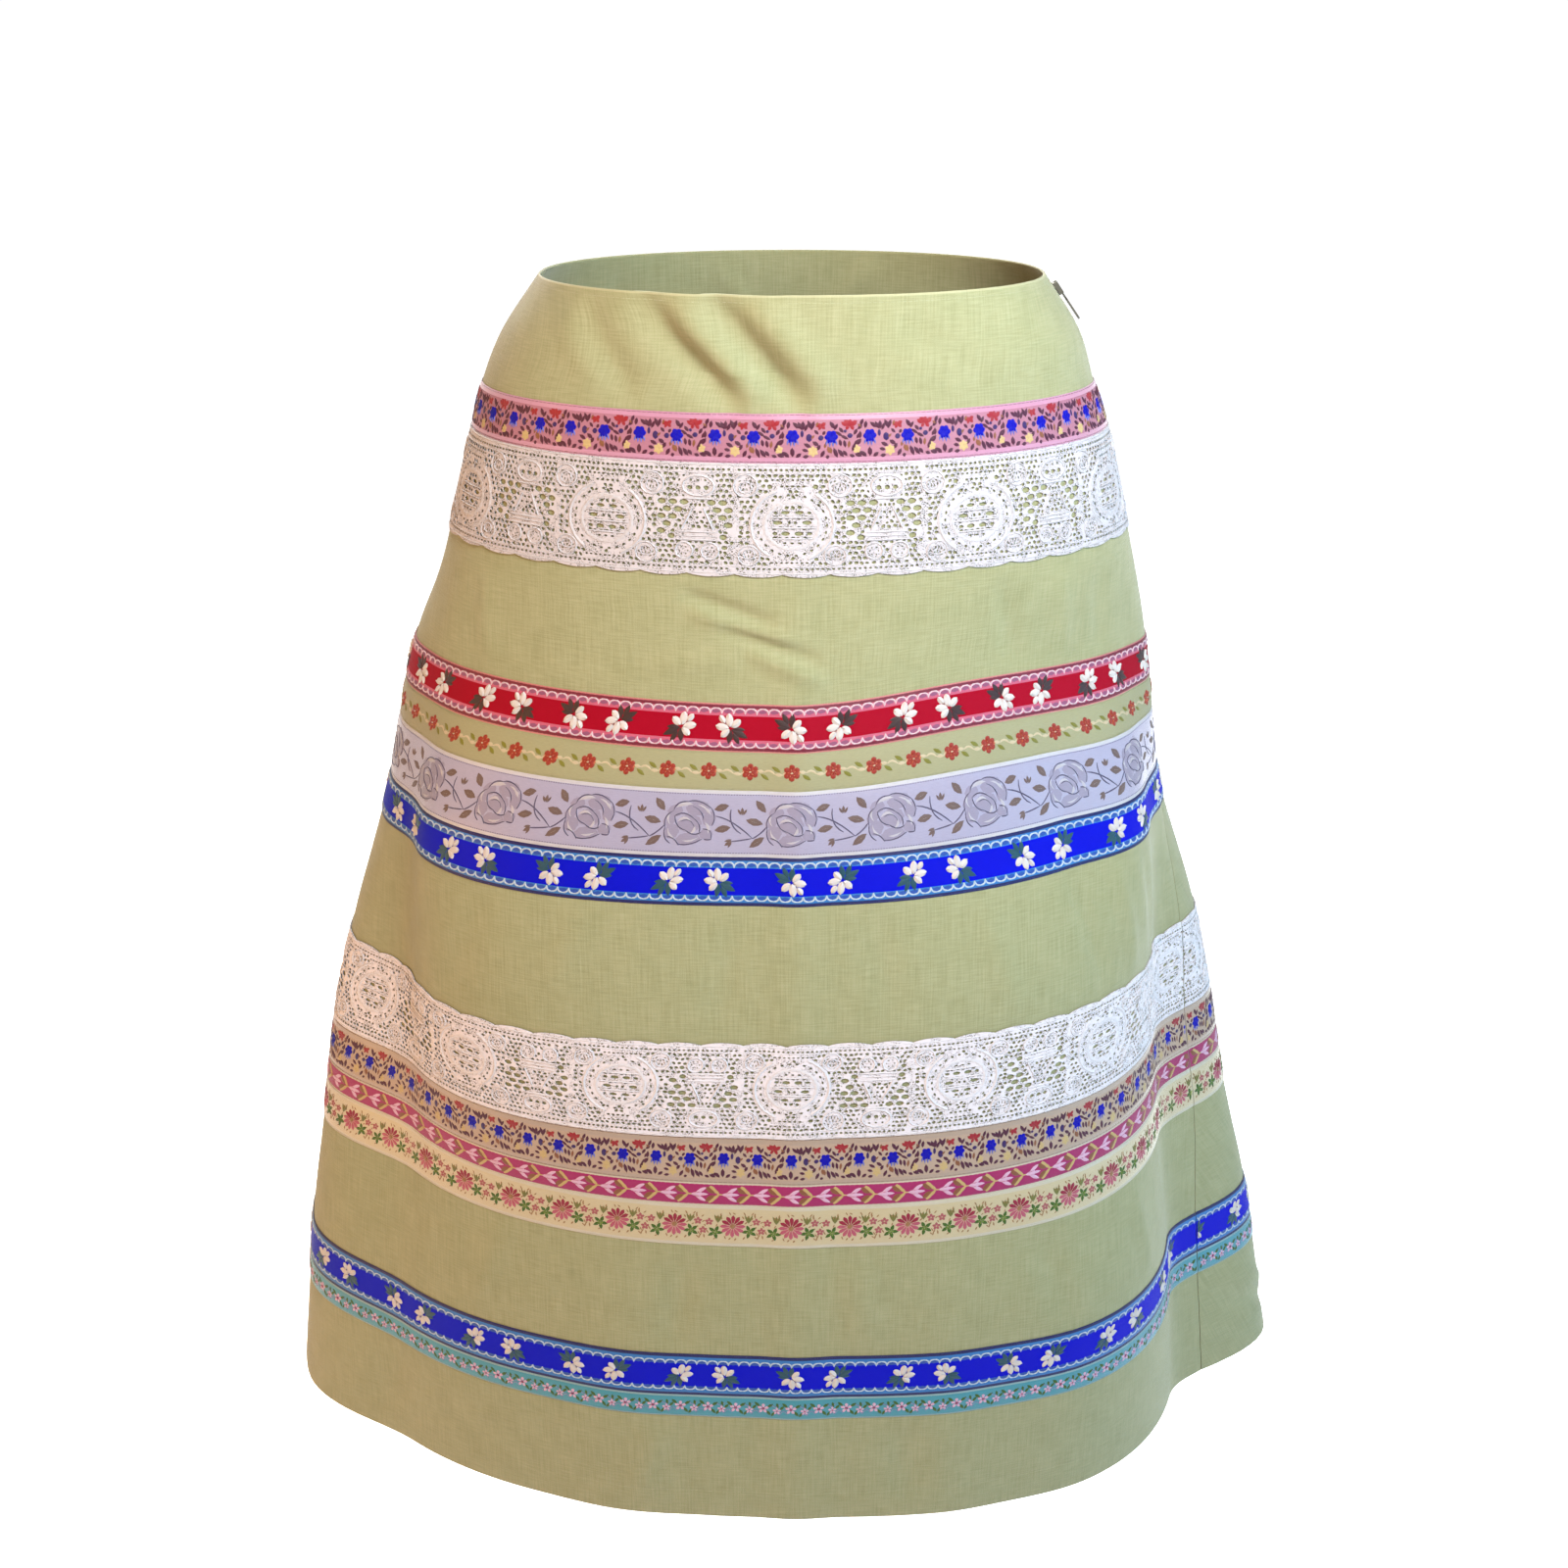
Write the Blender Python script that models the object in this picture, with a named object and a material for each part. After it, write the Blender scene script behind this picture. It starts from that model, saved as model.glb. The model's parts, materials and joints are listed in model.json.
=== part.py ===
"""A-line skirt of slub linen, with woven ribbons, a braid and two bands of lace sewn on level.

Units are metres and +Z is up. The front faces -Y and +X is the wearer's left. The origin is the
middle of the waist opening, level with its rim. Each section is a closed ring round that axis: an
angle of 0 is the centre front, +90 the wearer's left side seam and -90 the right one, and a drop
is a distance below the waist rim. Every piece is worked out from the same ring surface.
"""

from math import cos, degrees, pi, radians, sin
from typing import NamedTuple

import bmesh
import bpy
from mathutils import Matrix, Vector

# Cloth sizes
PANEL_THICKNESS = 0.0015
TRIM_THICKNESS = 0.0010
CLEARANCE = 0.0003
HEM_DROP = 0.775

# Shape of the sections
FLARE_FULLNESS = 2.5
BACK_FULLNESS = 2.1
FOLD_REACH = 8.0
SIDE = 90.0
HALF_TURN = 180.0
SLOPE_ANGLE = 0.5
SLOPE_DROP = 0.002

# Columns across each panel: a middle stretch either way from its centre, and one by each seam
FRONT_MIDDLE = 60.0
FRONT_SEAM_COLUMNS = 10
FRONT_MIDDLE_COLUMNS = 12
BACK_MIDDLE = 66.0
BACK_SEAM_COLUMNS = 7
BACK_MIDDLE_COLUMNS = 18

# Where the red and braid bands ride up over the hip
HIP_LIFT = 0.006
HIP_ANGLE = 48.0
HIP_ANGLE_REACH = 45.0
HIP_DROP = 0.235
HIP_DROP_REACH = 0.090

# Concealed zip in the wearer's left side seam
ZIP_LENGTH = 0.190
ZIP_TOP = 0.004
TAPE_HALF_WIDTH = 0.011
TAPE_THICKNESS = 0.0008
COIL_HEIGHT = 0.0022
SLIDER_DROP = 0.011
SLIDER_WIDTH = 0.0046
SLIDER_LENGTH = 0.0080
SLIDER_BASE = 0.0010
EAR_THICKNESS = 0.0008
EAR_HEIGHT = 0.0019
PIVOT_FROM_END = 0.0016
BARREL_RADIUS = 0.0007
BARREL_SIDES = 12
PULL_NECK_LENGTH = 0.0050
PULL_LENGTH = 0.0200
PULL_WIDTH = 0.0054
PULL_THICKNESS = 0.0010
PULL_END_POINTS = 9
SHOULDER_SHARE = 0.8


class Level(NamedTuple):
    """One section of the skirt. The panel is the front between the side folds, the flare is past them."""

    drop: float
    front: float
    back: float
    right_panel: float
    right_fullness: float
    right_flare: float
    left_panel: float
    left_fullness: float
    left_flare: float


LEVELS = (
    Level(0.000, 0.1065, 0.1035, 0.1455, 2.1, 0.1455, 0.1455, 2.1, 0.1455),
    Level(0.035, 0.1085, 0.1090, 0.1710, 2.1, 0.1710, 0.1695, 2.1, 0.1695),
    Level(0.060, 0.1105, 0.1130, 0.1825, 2.1, 0.1825, 0.1785, 2.0, 0.1785),
    Level(0.087, 0.1125, 0.1180, 0.1910, 2.1, 0.1910, 0.1890, 2.0, 0.1890),
    Level(0.150, 0.1175, 0.1290, 0.2110, 2.0, 0.2110, 0.2075, 1.9, 0.2075),
    Level(0.220, 0.1290, 0.1440, 0.2365, 1.9, 0.2415, 0.2245, 1.6, 0.2265),
    Level(0.308, 0.1455, 0.1620, 0.2505, 2.6, 0.2615, 0.2365, 1.8, 0.2430),
    Level(0.422, 0.1670, 0.1850, 0.2565, 3.0, 0.2990, 0.2450, 2.4, 0.2820),
    Level(0.485, 0.1755, 0.1950, 0.2705, 2.6, 0.3165, 0.2530, 2.4, 0.2985),
    Level(0.562, 0.1850, 0.2080, 0.2945, 2.3, 0.3325, 0.2625, 2.6, 0.3160),
    Level(0.643, 0.1940, 0.2200, 0.3225, 2.3, 0.3495, 0.2725, 3.0, 0.3385),
    Level(HEM_DROP, 0.2060, 0.2380, 0.3465, 2.2, 0.3715, 0.2920, 2.8, 0.3675),
)


class SideLine(NamedTuple):
    """Angles from the centre front of the side folds and of the side seams, at one drop."""

    drop: float
    right_fold: float
    left_fold: float
    right_seam: float
    left_seam: float


SIDE_LINES = (
    SideLine(0.000, 87.0, 90.0, 91.0, 90.0),
    SideLine(0.220, 87.0, 88.0, 92.0, 89.0),
    SideLine(0.308, 80.0, 86.5, 92.5, 87.5),
    SideLine(0.422, 77.0, 84.5, 93.0, 85.5),
    SideLine(0.485, 75.5, 83.5, 93.0, 83.5),
    SideLine(0.562, 74.0, 82.0, 93.5, 82.0),
    SideLine(0.643, 72.0, 80.5, 94.0, 79.0),
    SideLine(HEM_DROP, 70.0, 78.0, 94.0, 76.0),
)


class Fold(NamedTuple):
    """A ridge, or a trough where depth is negative, that grows from start to its full depth and ends."""

    angle: float
    reach: float
    depth: float
    start: float
    full: float
    end: float


PAST_HEM = HEM_DROP * 2

FOLDS = (
    Fold(1.0, 9.0, 0.0015, 0.060, 0.300, PAST_HEM),
    Fold(-88.0, 14.0, -0.0035, 0.130, 0.190, 0.245),
    Fold(-75.0, 7.0, -0.0035, 0.200, 0.330, 0.600),
    Fold(72.0, 14.0, 0.0090, 0.210, 0.315, 0.470),
    Fold(81.0, 6.0, -0.0030, 0.290, 0.400, 0.660),
    Fold(38.0, 12.0, -0.0020, 0.480, 0.680, PAST_HEM),
    Fold(-30.0, 14.0, 0.0020, 0.500, 0.700, PAST_HEM),
    Fold(118.0, 17.0, 0.0090, 0.260, 0.720, PAST_HEM),
    Fold(146.0, 14.0, -0.0120, 0.210, 0.720, PAST_HEM),
    Fold(174.0, 16.0, 0.0110, 0.240, 0.720, PAST_HEM),
    Fold(-157.0, 14.0, -0.0130, 0.200, 0.700, PAST_HEM),
    Fold(-128.0, 16.0, 0.0100, 0.280, 0.720, PAST_HEM),
    Fold(-108.0, 9.0, -0.0060, 0.320, 0.700, PAST_HEM),
)


class Trim(NamedTuple):
    """A band sewn on level, from one drop to another, in one colour and with its own finish."""

    name: str
    top: float
    bottom: float
    colour: tuple
    roughness: float


TRIMS = (
    Trim("ribbon_pink", 0.0602, 0.0863, (0.66, 0.30, 0.36), 0.45),
    Trim("lace_upper", 0.0863, 0.1485, (0.86, 0.84, 0.80), 0.85),
    Trim("ribbon_red", 0.2195, 0.2470, (0.60, 0.02, 0.08), 0.50),
    Trim("braid_sage", 0.2470, 0.2691, (0.48, 0.47, 0.26), 0.80),
    Trim("ribbon_rose", 0.2691, 0.3079, (0.46, 0.42, 0.50), 0.40),
    Trim("ribbon_blue_upper", 0.3079, 0.3370, (0.01, 0.04, 0.62), 0.50),
    Trim("lace_lower", 0.4218, 0.4849, (0.86, 0.84, 0.80), 0.85),
    Trim("ribbon_beige", 0.4849, 0.5168, (0.55, 0.42, 0.30), 0.45),
    Trim("ribbon_magenta", 0.5168, 0.5323, (0.62, 0.06, 0.22), 0.45),
    Trim("ribbon_gold", 0.5323, 0.5616, (0.66, 0.56, 0.26), 0.40),
    Trim("ribbon_blue_lower", 0.6430, 0.6750, (0.01, 0.04, 0.62), 0.50),
    Trim("ribbon_turquoise", 0.6750, 0.6920, (0.14, 0.48, 0.62), 0.45),
)

# Rows of the panels between the bands; the bands' own edges are added to them
PLAIN_DROPS = (0.0, 0.018, 0.036, 0.185, 0.365, 0.393, 0.602, 0.733, HEM_DROP)
PANEL_DROPS = tuple(sorted({*PLAIN_DROPS, *(t.top for t in TRIMS), *(t.bottom for t in TRIMS)}))

LINEN_COLOUR = (0.45, 0.47, 0.24)
LINEN_ROUGHNESS = 0.85
TAPE_COLOUR = (0.42, 0.44, 0.24)
METAL_COLOUR = (0.62, 0.60, 0.52)
METAL_ROUGHNESS = 0.35


def clamp(value):
    """The value held between 0 and 1."""
    return min(1.0, max(0.0, value))


def ease(value):
    """A smooth rise from 0 to 1."""
    held = clamp(value)
    return held * held * (3.0 - 2.0 * held)


def bell(offset):
    """1 at an offset of 0, falling smoothly to 0 at an offset of 1 either way."""
    return cos(pi / 2 * min(1.0, abs(offset))) ** 2


def slopes(xs, ys):
    """The slope of a smooth curve at each of its points, with no overshoot between them."""
    runs = [b - a for a, b in zip(xs, xs[1:])]
    rates = [(b - a) / run for a, b, run in zip(ys, ys[1:], runs)]
    inner = [2 * p * q / (p + q) if p * q > 0 else 0.0 for p, q in zip(rates, rates[1:])]
    return [rates[0], *inner, rates[-1]]


class Curves:
    """Reads every column of a table of drops as a smooth curve."""

    def __init__(self, rows):
        self.kind = type(rows[0])
        self.drops = [row.drop for row in rows]
        self.columns = [list(column) for column in zip(*rows)]
        self.column_slopes = [slopes(self.drops, column) for column in self.columns]

    def at(self, drop):
        """The row of the table at a drop between those of its rows."""
        last = len(self.drops) - 2
        row = max(0, min(last, sum(known <= drop for known in self.drops) - 1))
        run = self.drops[row + 1] - self.drops[row]
        t = (drop - self.drops[row]) / run
        start = (1 + 2 * t) * (1 - t) ** 2
        start_slope = t * (1 - t) ** 2 * run
        end = t * t * (3 - 2 * t)
        end_slope = t * t * (t - 1) * run
        values = (
            start * c[row] + start_slope * m[row] + end * c[row + 1] + end_slope * m[row + 1]
            for c, m in zip(self.columns, self.column_slopes)
        )
        return self.kind(*values)


level_curves = Curves(LEVELS)
side_curves = Curves(SIDE_LINES)


def superellipse(angle, half_width, depth, fullness):
    """Distance from the axis to a rounded oblong, at an angle from its front."""
    across = abs(sin(radians(angle))) / half_width
    along = abs(cos(radians(angle))) / depth
    return (across**fullness + along**fullness) ** (-1.0 / fullness)


def fold_height(fold, angle, drop):
    """How far one fold moves the cloth out at a place."""
    turn = (angle - fold.angle + HALF_TURN) % (2 * HALF_TURN) - HALF_TURN
    grown = ease((drop - fold.start) / (fold.full - fold.start))
    fading = 1.0 if fold.end > HEM_DROP else 1.0 - ease((drop - fold.full) / (fold.end - fold.full))
    return fold.depth * bell(turn / fold.reach) * grown * fading


def radius(angle, drop):
    """Distance of the cloth's outer face from the axis."""
    turn = (angle + HALF_TURN) % (2 * HALF_TURN) - HALF_TURN
    away = abs(turn)
    level = level_curves.at(drop)
    side = side_curves.at(drop)
    if turn > 0:
        panel, fullness, flare = level.left_panel, level.left_fullness, level.left_flare
        fold = side.left_fold
    else:
        panel, fullness, flare = level.right_panel, level.right_fullness, level.right_flare
        fold = side.right_fold
    if away <= SIDE:
        inner = superellipse(away, panel, level.front, fullness)
        outer = superellipse(away, flare, level.front, FLARE_FULLNESS)
    else:
        inner = superellipse(away, panel, level.back, BACK_FULLNESS)
        outer = superellipse(away, flare, level.back, BACK_FULLNESS)
    past = ease((away - fold + FOLD_REACH) / (2 * FOLD_REACH))
    return inner + (outer - inner) * past + sum(fold_height(f, angle, drop) for f in FOLDS)


def place(angle, drop):
    """The point of the cloth's outer face at an angle and a drop."""
    hip = bell((angle - HIP_ANGLE) / HIP_ANGLE_REACH) * bell((drop - HIP_DROP) / HIP_DROP_REACH)
    out = radius(angle, drop)
    turn = radians(angle)
    return Vector((out * sin(turn), -out * cos(turn), HIP_LIFT * hip - drop))


def normal(angle, drop):
    """The outward direction at a place, from its neighbours across and down."""
    across = place(angle + SLOPE_ANGLE, drop) - place(angle - SLOPE_ANGLE, drop)
    up = place(angle, max(0.0, drop - SLOPE_DROP)) - place(angle, min(HEM_DROP, drop + SLOPE_DROP))
    return across.cross(up).normalized()


class Panel:
    """The grid of angles of one half of the skirt, from its first seam round to its last."""

    def __init__(self, name, centre, first_seam, last_seam, middle, columns):
        self.name = name
        self.centre = centre
        self.first_seam = first_seam
        self.last_seam = last_seam
        self.middle = middle
        self.columns = columns

    def angles(self, drop):
        """The angles of this half's columns at a drop, half a clearance short of each seam."""
        first = self.first_seam(drop)
        last = self.last_seam(drop)
        first += degrees(CLEARANCE / 2 / radius(first, drop))
        last -= degrees(CLEARANCE / 2 / radius(last, drop))
        stops = (first, self.centre - self.middle, self.centre + self.middle, last)
        found = [first]
        for start, stop, count in zip(stops, stops[1:], self.columns):
            found += [start + (stop - start) * (i + 1) / count for i in range(count)]
        return found

    def row(self, drop):
        """The outer face's points and normals along a drop."""
        return [(place(angle, drop), normal(angle, drop)) for angle in self.angles(drop)]


def wearer_left_seam(drop):
    """Angle of the seam at +X."""
    return side_curves.at(drop).left_seam


def wearer_right_seam(drop):
    """Angle of the seam at -X, as a negative angle."""
    return -side_curves.at(drop).right_seam


def wearer_right_seam_round(drop):
    """The same seam, counted on round the back."""
    return 2 * HALF_TURN + wearer_right_seam(drop)


FRONT_COLUMNS = (FRONT_SEAM_COLUMNS, FRONT_MIDDLE_COLUMNS, FRONT_SEAM_COLUMNS)
BACK_COLUMNS = (BACK_SEAM_COLUMNS, BACK_MIDDLE_COLUMNS, BACK_SEAM_COLUMNS)
FRONT = Panel("front", 0.0, wearer_right_seam, wearer_left_seam, FRONT_MIDDLE, FRONT_COLUMNS)
BACK = Panel("back", HALF_TURN, wearer_left_seam, wearer_right_seam_round, BACK_MIDDLE, BACK_COLUMNS)
HALVES = (FRONT, BACK)


def material(name, colour, roughness, metallic=0.0):
    """A plain Principled finish."""
    made = bpy.data.materials.new(name)
    made.use_nodes = True
    surface = made.node_tree.nodes["Principled BSDF"]
    surface.inputs["Base Color"].default_value = (*colour, 1.0)
    surface.inputs["Roughness"].default_value = roughness
    surface.inputs["Metallic"].default_value = metallic
    return made


def add_object(name, mesh, finish):
    """Puts a mesh in the scene as one named object."""
    mesh.materials.append(finish)
    made = bpy.data.objects.new(name, mesh)
    bpy.context.collection.objects.link(made)
    return made


def grid_faces(rows, columns, first, flip):
    """Two triangles for each cell of a grid of points, on one diagonal throughout."""
    faces = []
    for r in range(rows - 1):
        for c in range(columns - 1):
            a = first + r * columns + c
            b, d = a + 1, a + columns
            pair = ((a, d, b), (b, d, d + 1))
            faces += [face[::-1] for face in pair] if flip else pair
    return faces


def cloth_wall(name, rows, inner_offset, outer_offset, finish):
    """A closed wall between two offsets from rows of points and normals. Offsets may vary by column."""
    count, columns = len(rows), len(rows[0])
    size = count * columns
    points = [p + n * outer_offset(c) for row in rows for c, (p, n) in enumerate(row)]
    points += [p + n * inner_offset(c) for row in rows for c, (p, n) in enumerate(row)]
    faces = grid_faces(count, columns, 0, False) + grid_faces(count, columns, size, True)
    top = list(range(columns))
    last_column = [r * columns + columns - 1 for r in range(1, count)]
    bottom = [size - 2 - c for c in range(columns - 1)]
    first_column = [r * columns for r in range(count - 2, 0, -1)]
    rim = top + last_column + bottom + first_column
    for here, there in zip(rim, rim[1:] + rim[:1]):
        faces += [(here, there, there + size), (here, there + size, here + size)]
    mesh = bpy.data.meshes.new(name)
    mesh.from_pydata([tuple(p) for p in points], [], faces)
    mesh.shade_smooth()
    return add_object(name, mesh, finish)


def build_panels():
    """The front and the back, each a wall from side seam to side seam."""
    linen = material("linen", LINEN_COLOUR, LINEN_ROUGHNESS)
    for half in HALVES:
        rows = [half.row(drop) for drop in PANEL_DROPS]
        cloth_wall(f"{half.name}_panel", rows, lambda c: -PANEL_THICKNESS, lambda c: 0.0, linen)


def build_trims():
    """Each band as a front and a back piece, laid on the panels' own points and moved out."""
    inset = CLEARANCE / 2
    near = CLEARANCE
    far = CLEARANCE + TRIM_THICKNESS
    for trim in TRIMS:
        finish = material(trim.name, trim.colour, trim.roughness)
        for half in HALVES:
            top = half.row(trim.top)
            bottom = half.row(trim.bottom)
            share = inset / (trim.bottom - trim.top)
            ends = ((top, bottom), (bottom, top))
            rows = [
                [(p.lerp(q, share), n) for (p, n), (q, _) in zip(start, other)]
                for start, other in ends
            ]
            cloth_wall(f"{trim.name}_{half.name}", rows, lambda c: near, lambda c: far, finish)


def along_row(row, distance, from_end):
    """The point and normal a distance in from one end of a row."""
    stations = row[::-1] if from_end else row
    left = distance
    for (point_a, normal_a), (point_b, normal_b) in zip(stations, stations[1:]):
        run = (point_b - point_a).length
        if left <= run:
            return point_a.lerp(point_b, left / run), normal_a.lerp(normal_b, left / run)
        left -= run
    return stations[-1]


def tape_row(drop):
    """Front edge, middle and back edge of the zip tape on one of the panels' rows."""
    seam = wearer_left_seam(drop)
    front_edge = along_row(FRONT.row(drop), TAPE_HALF_WIDTH, True)
    back_edge = along_row(BACK.row(drop), TAPE_HALF_WIDTH, False)
    return [front_edge, (place(seam, drop), normal(seam, drop)), back_edge]


def tape_end(drop):
    """The same at a drop between two rows, on the straight from one to the other as the walls are."""
    above = max(row for row in PANEL_DROPS if row <= drop)
    below = min(row for row in PANEL_DROPS if row > drop)
    share = (drop - above) / (below - above)
    pairs = zip(tape_row(above), tape_row(below))
    return [(p.lerp(q, share), n.lerp(m, share)) for (p, n), (q, m) in pairs]


def build_zip_tape():
    """The tapes and the closed coil behind the wearer's left seam, as one strip inside the walls."""
    end = ZIP_TOP + ZIP_LENGTH
    inner = [tape_row(drop) for drop in PANEL_DROPS if ZIP_TOP < drop < end]
    rows = [tape_end(ZIP_TOP), *inner, tape_end(end)]
    outer = -PANEL_THICKNESS - CLEARANCE
    thickness = (TAPE_THICKNESS, COIL_HEIGHT, TAPE_THICKNESS)
    finish = material("zip_tape", TAPE_COLOUR, LINEN_ROUGHNESS)
    cloth_wall("zip_tape", rows, lambda c: outer - thickness[c], lambda c: outer, finish)


def seam_frame():
    """The frame of the slider: X along the pivot, Y down the cloth, Z out of it."""
    seam = wearer_left_seam(SLIDER_DROP)
    reach = SLIDER_LENGTH / 2
    above = place(seam, SLIDER_DROP - reach)
    below = place(seam, SLIDER_DROP + reach)
    down = (below - above).normalized()
    out = normal(seam, SLIDER_DROP)
    out = (out - down * out.dot(down)).normalized()
    across = down.cross(out)
    turn = Matrix((across, down, out)).transposed().to_4x4()
    return Matrix.Translation((above + below) / 2) @ turn


def prism(name, outline, depth, finish):
    """An outline in X and Z, as (x, z) points that run round it, carried along Y about the middle."""
    shape = bmesh.new()
    face = shape.faces.new([shape.verts.new((x, -depth / 2, z)) for x, z in outline])
    moved = bmesh.ops.extrude_face_region(shape, geom=[face])["geom"]
    corners = [v for v in moved if isinstance(v, bmesh.types.BMVert)]
    bmesh.ops.translate(shape, vec=(0.0, depth, 0.0), verts=corners)
    bmesh.ops.recalc_face_normals(shape, faces=shape.faces)
    mesh = bpy.data.meshes.new(name)
    shape.to_mesh(mesh)
    shape.free()
    return add_object(name, mesh, finish)


def slider_outline():
    """The slider end on: a base with an ear up each side."""
    half, ear = SLIDER_WIDTH / 2, SLIDER_WIDTH / 2 - EAR_THICKNESS
    floor, deck = CLEARANCE, CLEARANCE + SLIDER_BASE
    top = deck + EAR_HEIGHT
    right = [(half, floor), (half, top), (ear, top), (ear, deck)]
    return right + [(-x, z) for x, z in reversed(right)]


def pull_outline(neck):
    """The flat tab from above, as (x, y) points: a narrow neck that widens to a round end."""
    half = PULL_WIDTH / 2
    round_middle = PULL_LENGTH - half
    steps = range(PULL_END_POINTS)
    arc = [(half * cos(pi * i / (PULL_END_POINTS - 1)), sin(pi * i / (PULL_END_POINTS - 1))) for i in steps]
    end = [(x, round_middle + half * rise) for x, rise in arc]
    shoulder = PULL_NECK_LENGTH + neck
    return [(neck, 0.0), (neck, PULL_NECK_LENGTH), (half * SHOULDER_SHARE, shoulder), *end,
            (-half * SHOULDER_SHARE, shoulder), (-neck, PULL_NECK_LENGTH), (-neck, 0.0)]


def build_slider_and_pull():
    """The slider on the closed zip, and its tab hanging from a barrel between the ears."""
    metal = material("zip_metal", METAL_COLOUR, METAL_ROUGHNESS, 1.0)
    frame = seam_frame()
    slider = prism("zip_slider", slider_outline(), SLIDER_LENGTH, metal)
    slider.matrix_world = frame

    pivot_height = 2 * CLEARANCE + SLIDER_BASE + BARREL_RADIUS
    pivot = Vector((0.0, SLIDER_LENGTH / 2 - PIVOT_FROM_END, pivot_height))
    neck = SLIDER_WIDTH / 2 - EAR_THICKNESS - CLEARANCE
    shape = bmesh.new()
    half = PULL_THICKNESS / 2
    face = shape.faces.new([shape.verts.new((x, y, -half)) for x, y in pull_outline(neck)])
    moved = bmesh.ops.extrude_face_region(shape, geom=[face])["geom"]
    corners = [v for v in moved if isinstance(v, bmesh.types.BMVert)]
    bmesh.ops.translate(shape, vec=(0.0, 0.0, PULL_THICKNESS), verts=corners)
    bmesh.ops.recalc_face_normals(shape, faces=shape.faces)
    mesh = bpy.data.meshes.new("zip_pull")
    shape.to_mesh(mesh)
    shape.free()
    pull = add_object("zip_pull", mesh, metal)
    pull.matrix_world = frame @ Matrix.Translation(pivot)

    rim = [2 * pi * (i + 0.5) / BARREL_SIDES for i in range(BARREL_SIDES)]
    ring = [(BARREL_RADIUS * cos(a), BARREL_RADIUS * sin(a)) for a in rim]
    barrel = prism("pull_barrel", ring, 2 * neck, metal)
    barrel.matrix_world = pull.matrix_world @ Matrix.Rotation(pi / 2, 4, "Z")
    barrel.hide_render = True
    barrel.display_type = "WIRE"
    joined = pull.modifiers.new("barrel", "BOOLEAN")
    joined.operation = "UNION"
    joined.object = barrel


def main():
    for old in list(bpy.data.objects):
        bpy.data.objects.remove(old)
    build_panels()
    build_trims()
    build_zip_tape()
    build_slider_and_pull()


main()
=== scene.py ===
"""Looks of an a-line skirt of slub linen with sewn-on ribbons, a braid and two bands of lace.

Everything is laid on one surface, worked out from the skirt's sections, so each band, motif and
stitch follows the cloth beneath it. Lengths are metres, and the charts of the motifs are in
millimetres. An angle of 0 is the centre front, +90 the wearer's left, and a drop is a distance
below the waist rim.
"""

from __future__ import annotations

import json
import logging
from collections.abc import Sequence
from dataclasses import dataclass, field, replace
from enum import Enum

import bpy
import numpy as np
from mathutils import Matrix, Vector
from mathutils.geometry import delaunay_2d_cdt

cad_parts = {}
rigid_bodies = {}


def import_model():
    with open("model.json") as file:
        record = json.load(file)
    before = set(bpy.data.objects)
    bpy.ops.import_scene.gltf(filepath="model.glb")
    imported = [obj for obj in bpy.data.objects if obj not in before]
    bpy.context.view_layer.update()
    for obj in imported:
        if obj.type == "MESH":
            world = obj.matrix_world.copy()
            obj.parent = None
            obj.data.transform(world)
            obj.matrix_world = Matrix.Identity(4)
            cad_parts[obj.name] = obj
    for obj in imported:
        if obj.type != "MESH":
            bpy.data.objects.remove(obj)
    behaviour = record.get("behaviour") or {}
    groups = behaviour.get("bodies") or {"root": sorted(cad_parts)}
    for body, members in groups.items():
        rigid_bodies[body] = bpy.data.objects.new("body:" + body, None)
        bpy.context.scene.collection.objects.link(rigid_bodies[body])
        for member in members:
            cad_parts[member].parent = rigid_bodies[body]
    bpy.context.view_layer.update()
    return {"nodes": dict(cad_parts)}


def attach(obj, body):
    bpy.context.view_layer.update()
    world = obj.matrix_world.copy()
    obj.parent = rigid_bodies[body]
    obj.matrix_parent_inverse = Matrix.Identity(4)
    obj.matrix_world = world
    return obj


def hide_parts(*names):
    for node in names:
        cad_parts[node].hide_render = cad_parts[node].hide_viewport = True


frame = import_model()
LOG = logging.getLogger("skirt")

MM = 0.001
HALF_TURN = 180.0
MEAN_RADIUS = 0.2
EXPOSURE = 0.216
HEM_DROP = 0.775
Array = np.ndarray
Piece = bpy.types.Object
Oval = tuple[float, float, float, float]
Socket = bpy.types.NodeSocket

# Sections: drop, front, back, then panel, fullness and flare of the right side and of the left
LEVELS = np.array([
    (0.000, 0.1065, 0.1035, 0.1455, 2.1, 0.1455, 0.1455, 2.1, 0.1455),
    (0.035, 0.1085, 0.1090, 0.1710, 2.1, 0.1710, 0.1695, 2.1, 0.1695),
    (0.060, 0.1105, 0.1130, 0.1825, 2.1, 0.1825, 0.1785, 2.0, 0.1785),
    (0.087, 0.1125, 0.1180, 0.1910, 2.1, 0.1910, 0.1890, 2.0, 0.1890),
    (0.150, 0.1175, 0.1290, 0.2110, 2.0, 0.2110, 0.2075, 1.9, 0.2075),
    (0.220, 0.1290, 0.1440, 0.2365, 1.9, 0.2415, 0.2245, 1.6, 0.2265),
    (0.308, 0.1455, 0.1620, 0.2505, 2.6, 0.2615, 0.2365, 1.8, 0.2430),
    (0.422, 0.1670, 0.1850, 0.2565, 3.0, 0.2990, 0.2450, 2.4, 0.2820),
    (0.485, 0.1755, 0.1950, 0.2705, 2.6, 0.3165, 0.2530, 2.4, 0.2985),
    (0.562, 0.1850, 0.2080, 0.2945, 2.3, 0.3325, 0.2625, 2.6, 0.3160),
    (0.643, 0.1940, 0.2200, 0.3225, 2.3, 0.3495, 0.2725, 3.0, 0.3385),
    (HEM_DROP, 0.2060, 0.2380, 0.3465, 2.2, 0.3715, 0.2920, 2.8, 0.3675),
])
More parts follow.
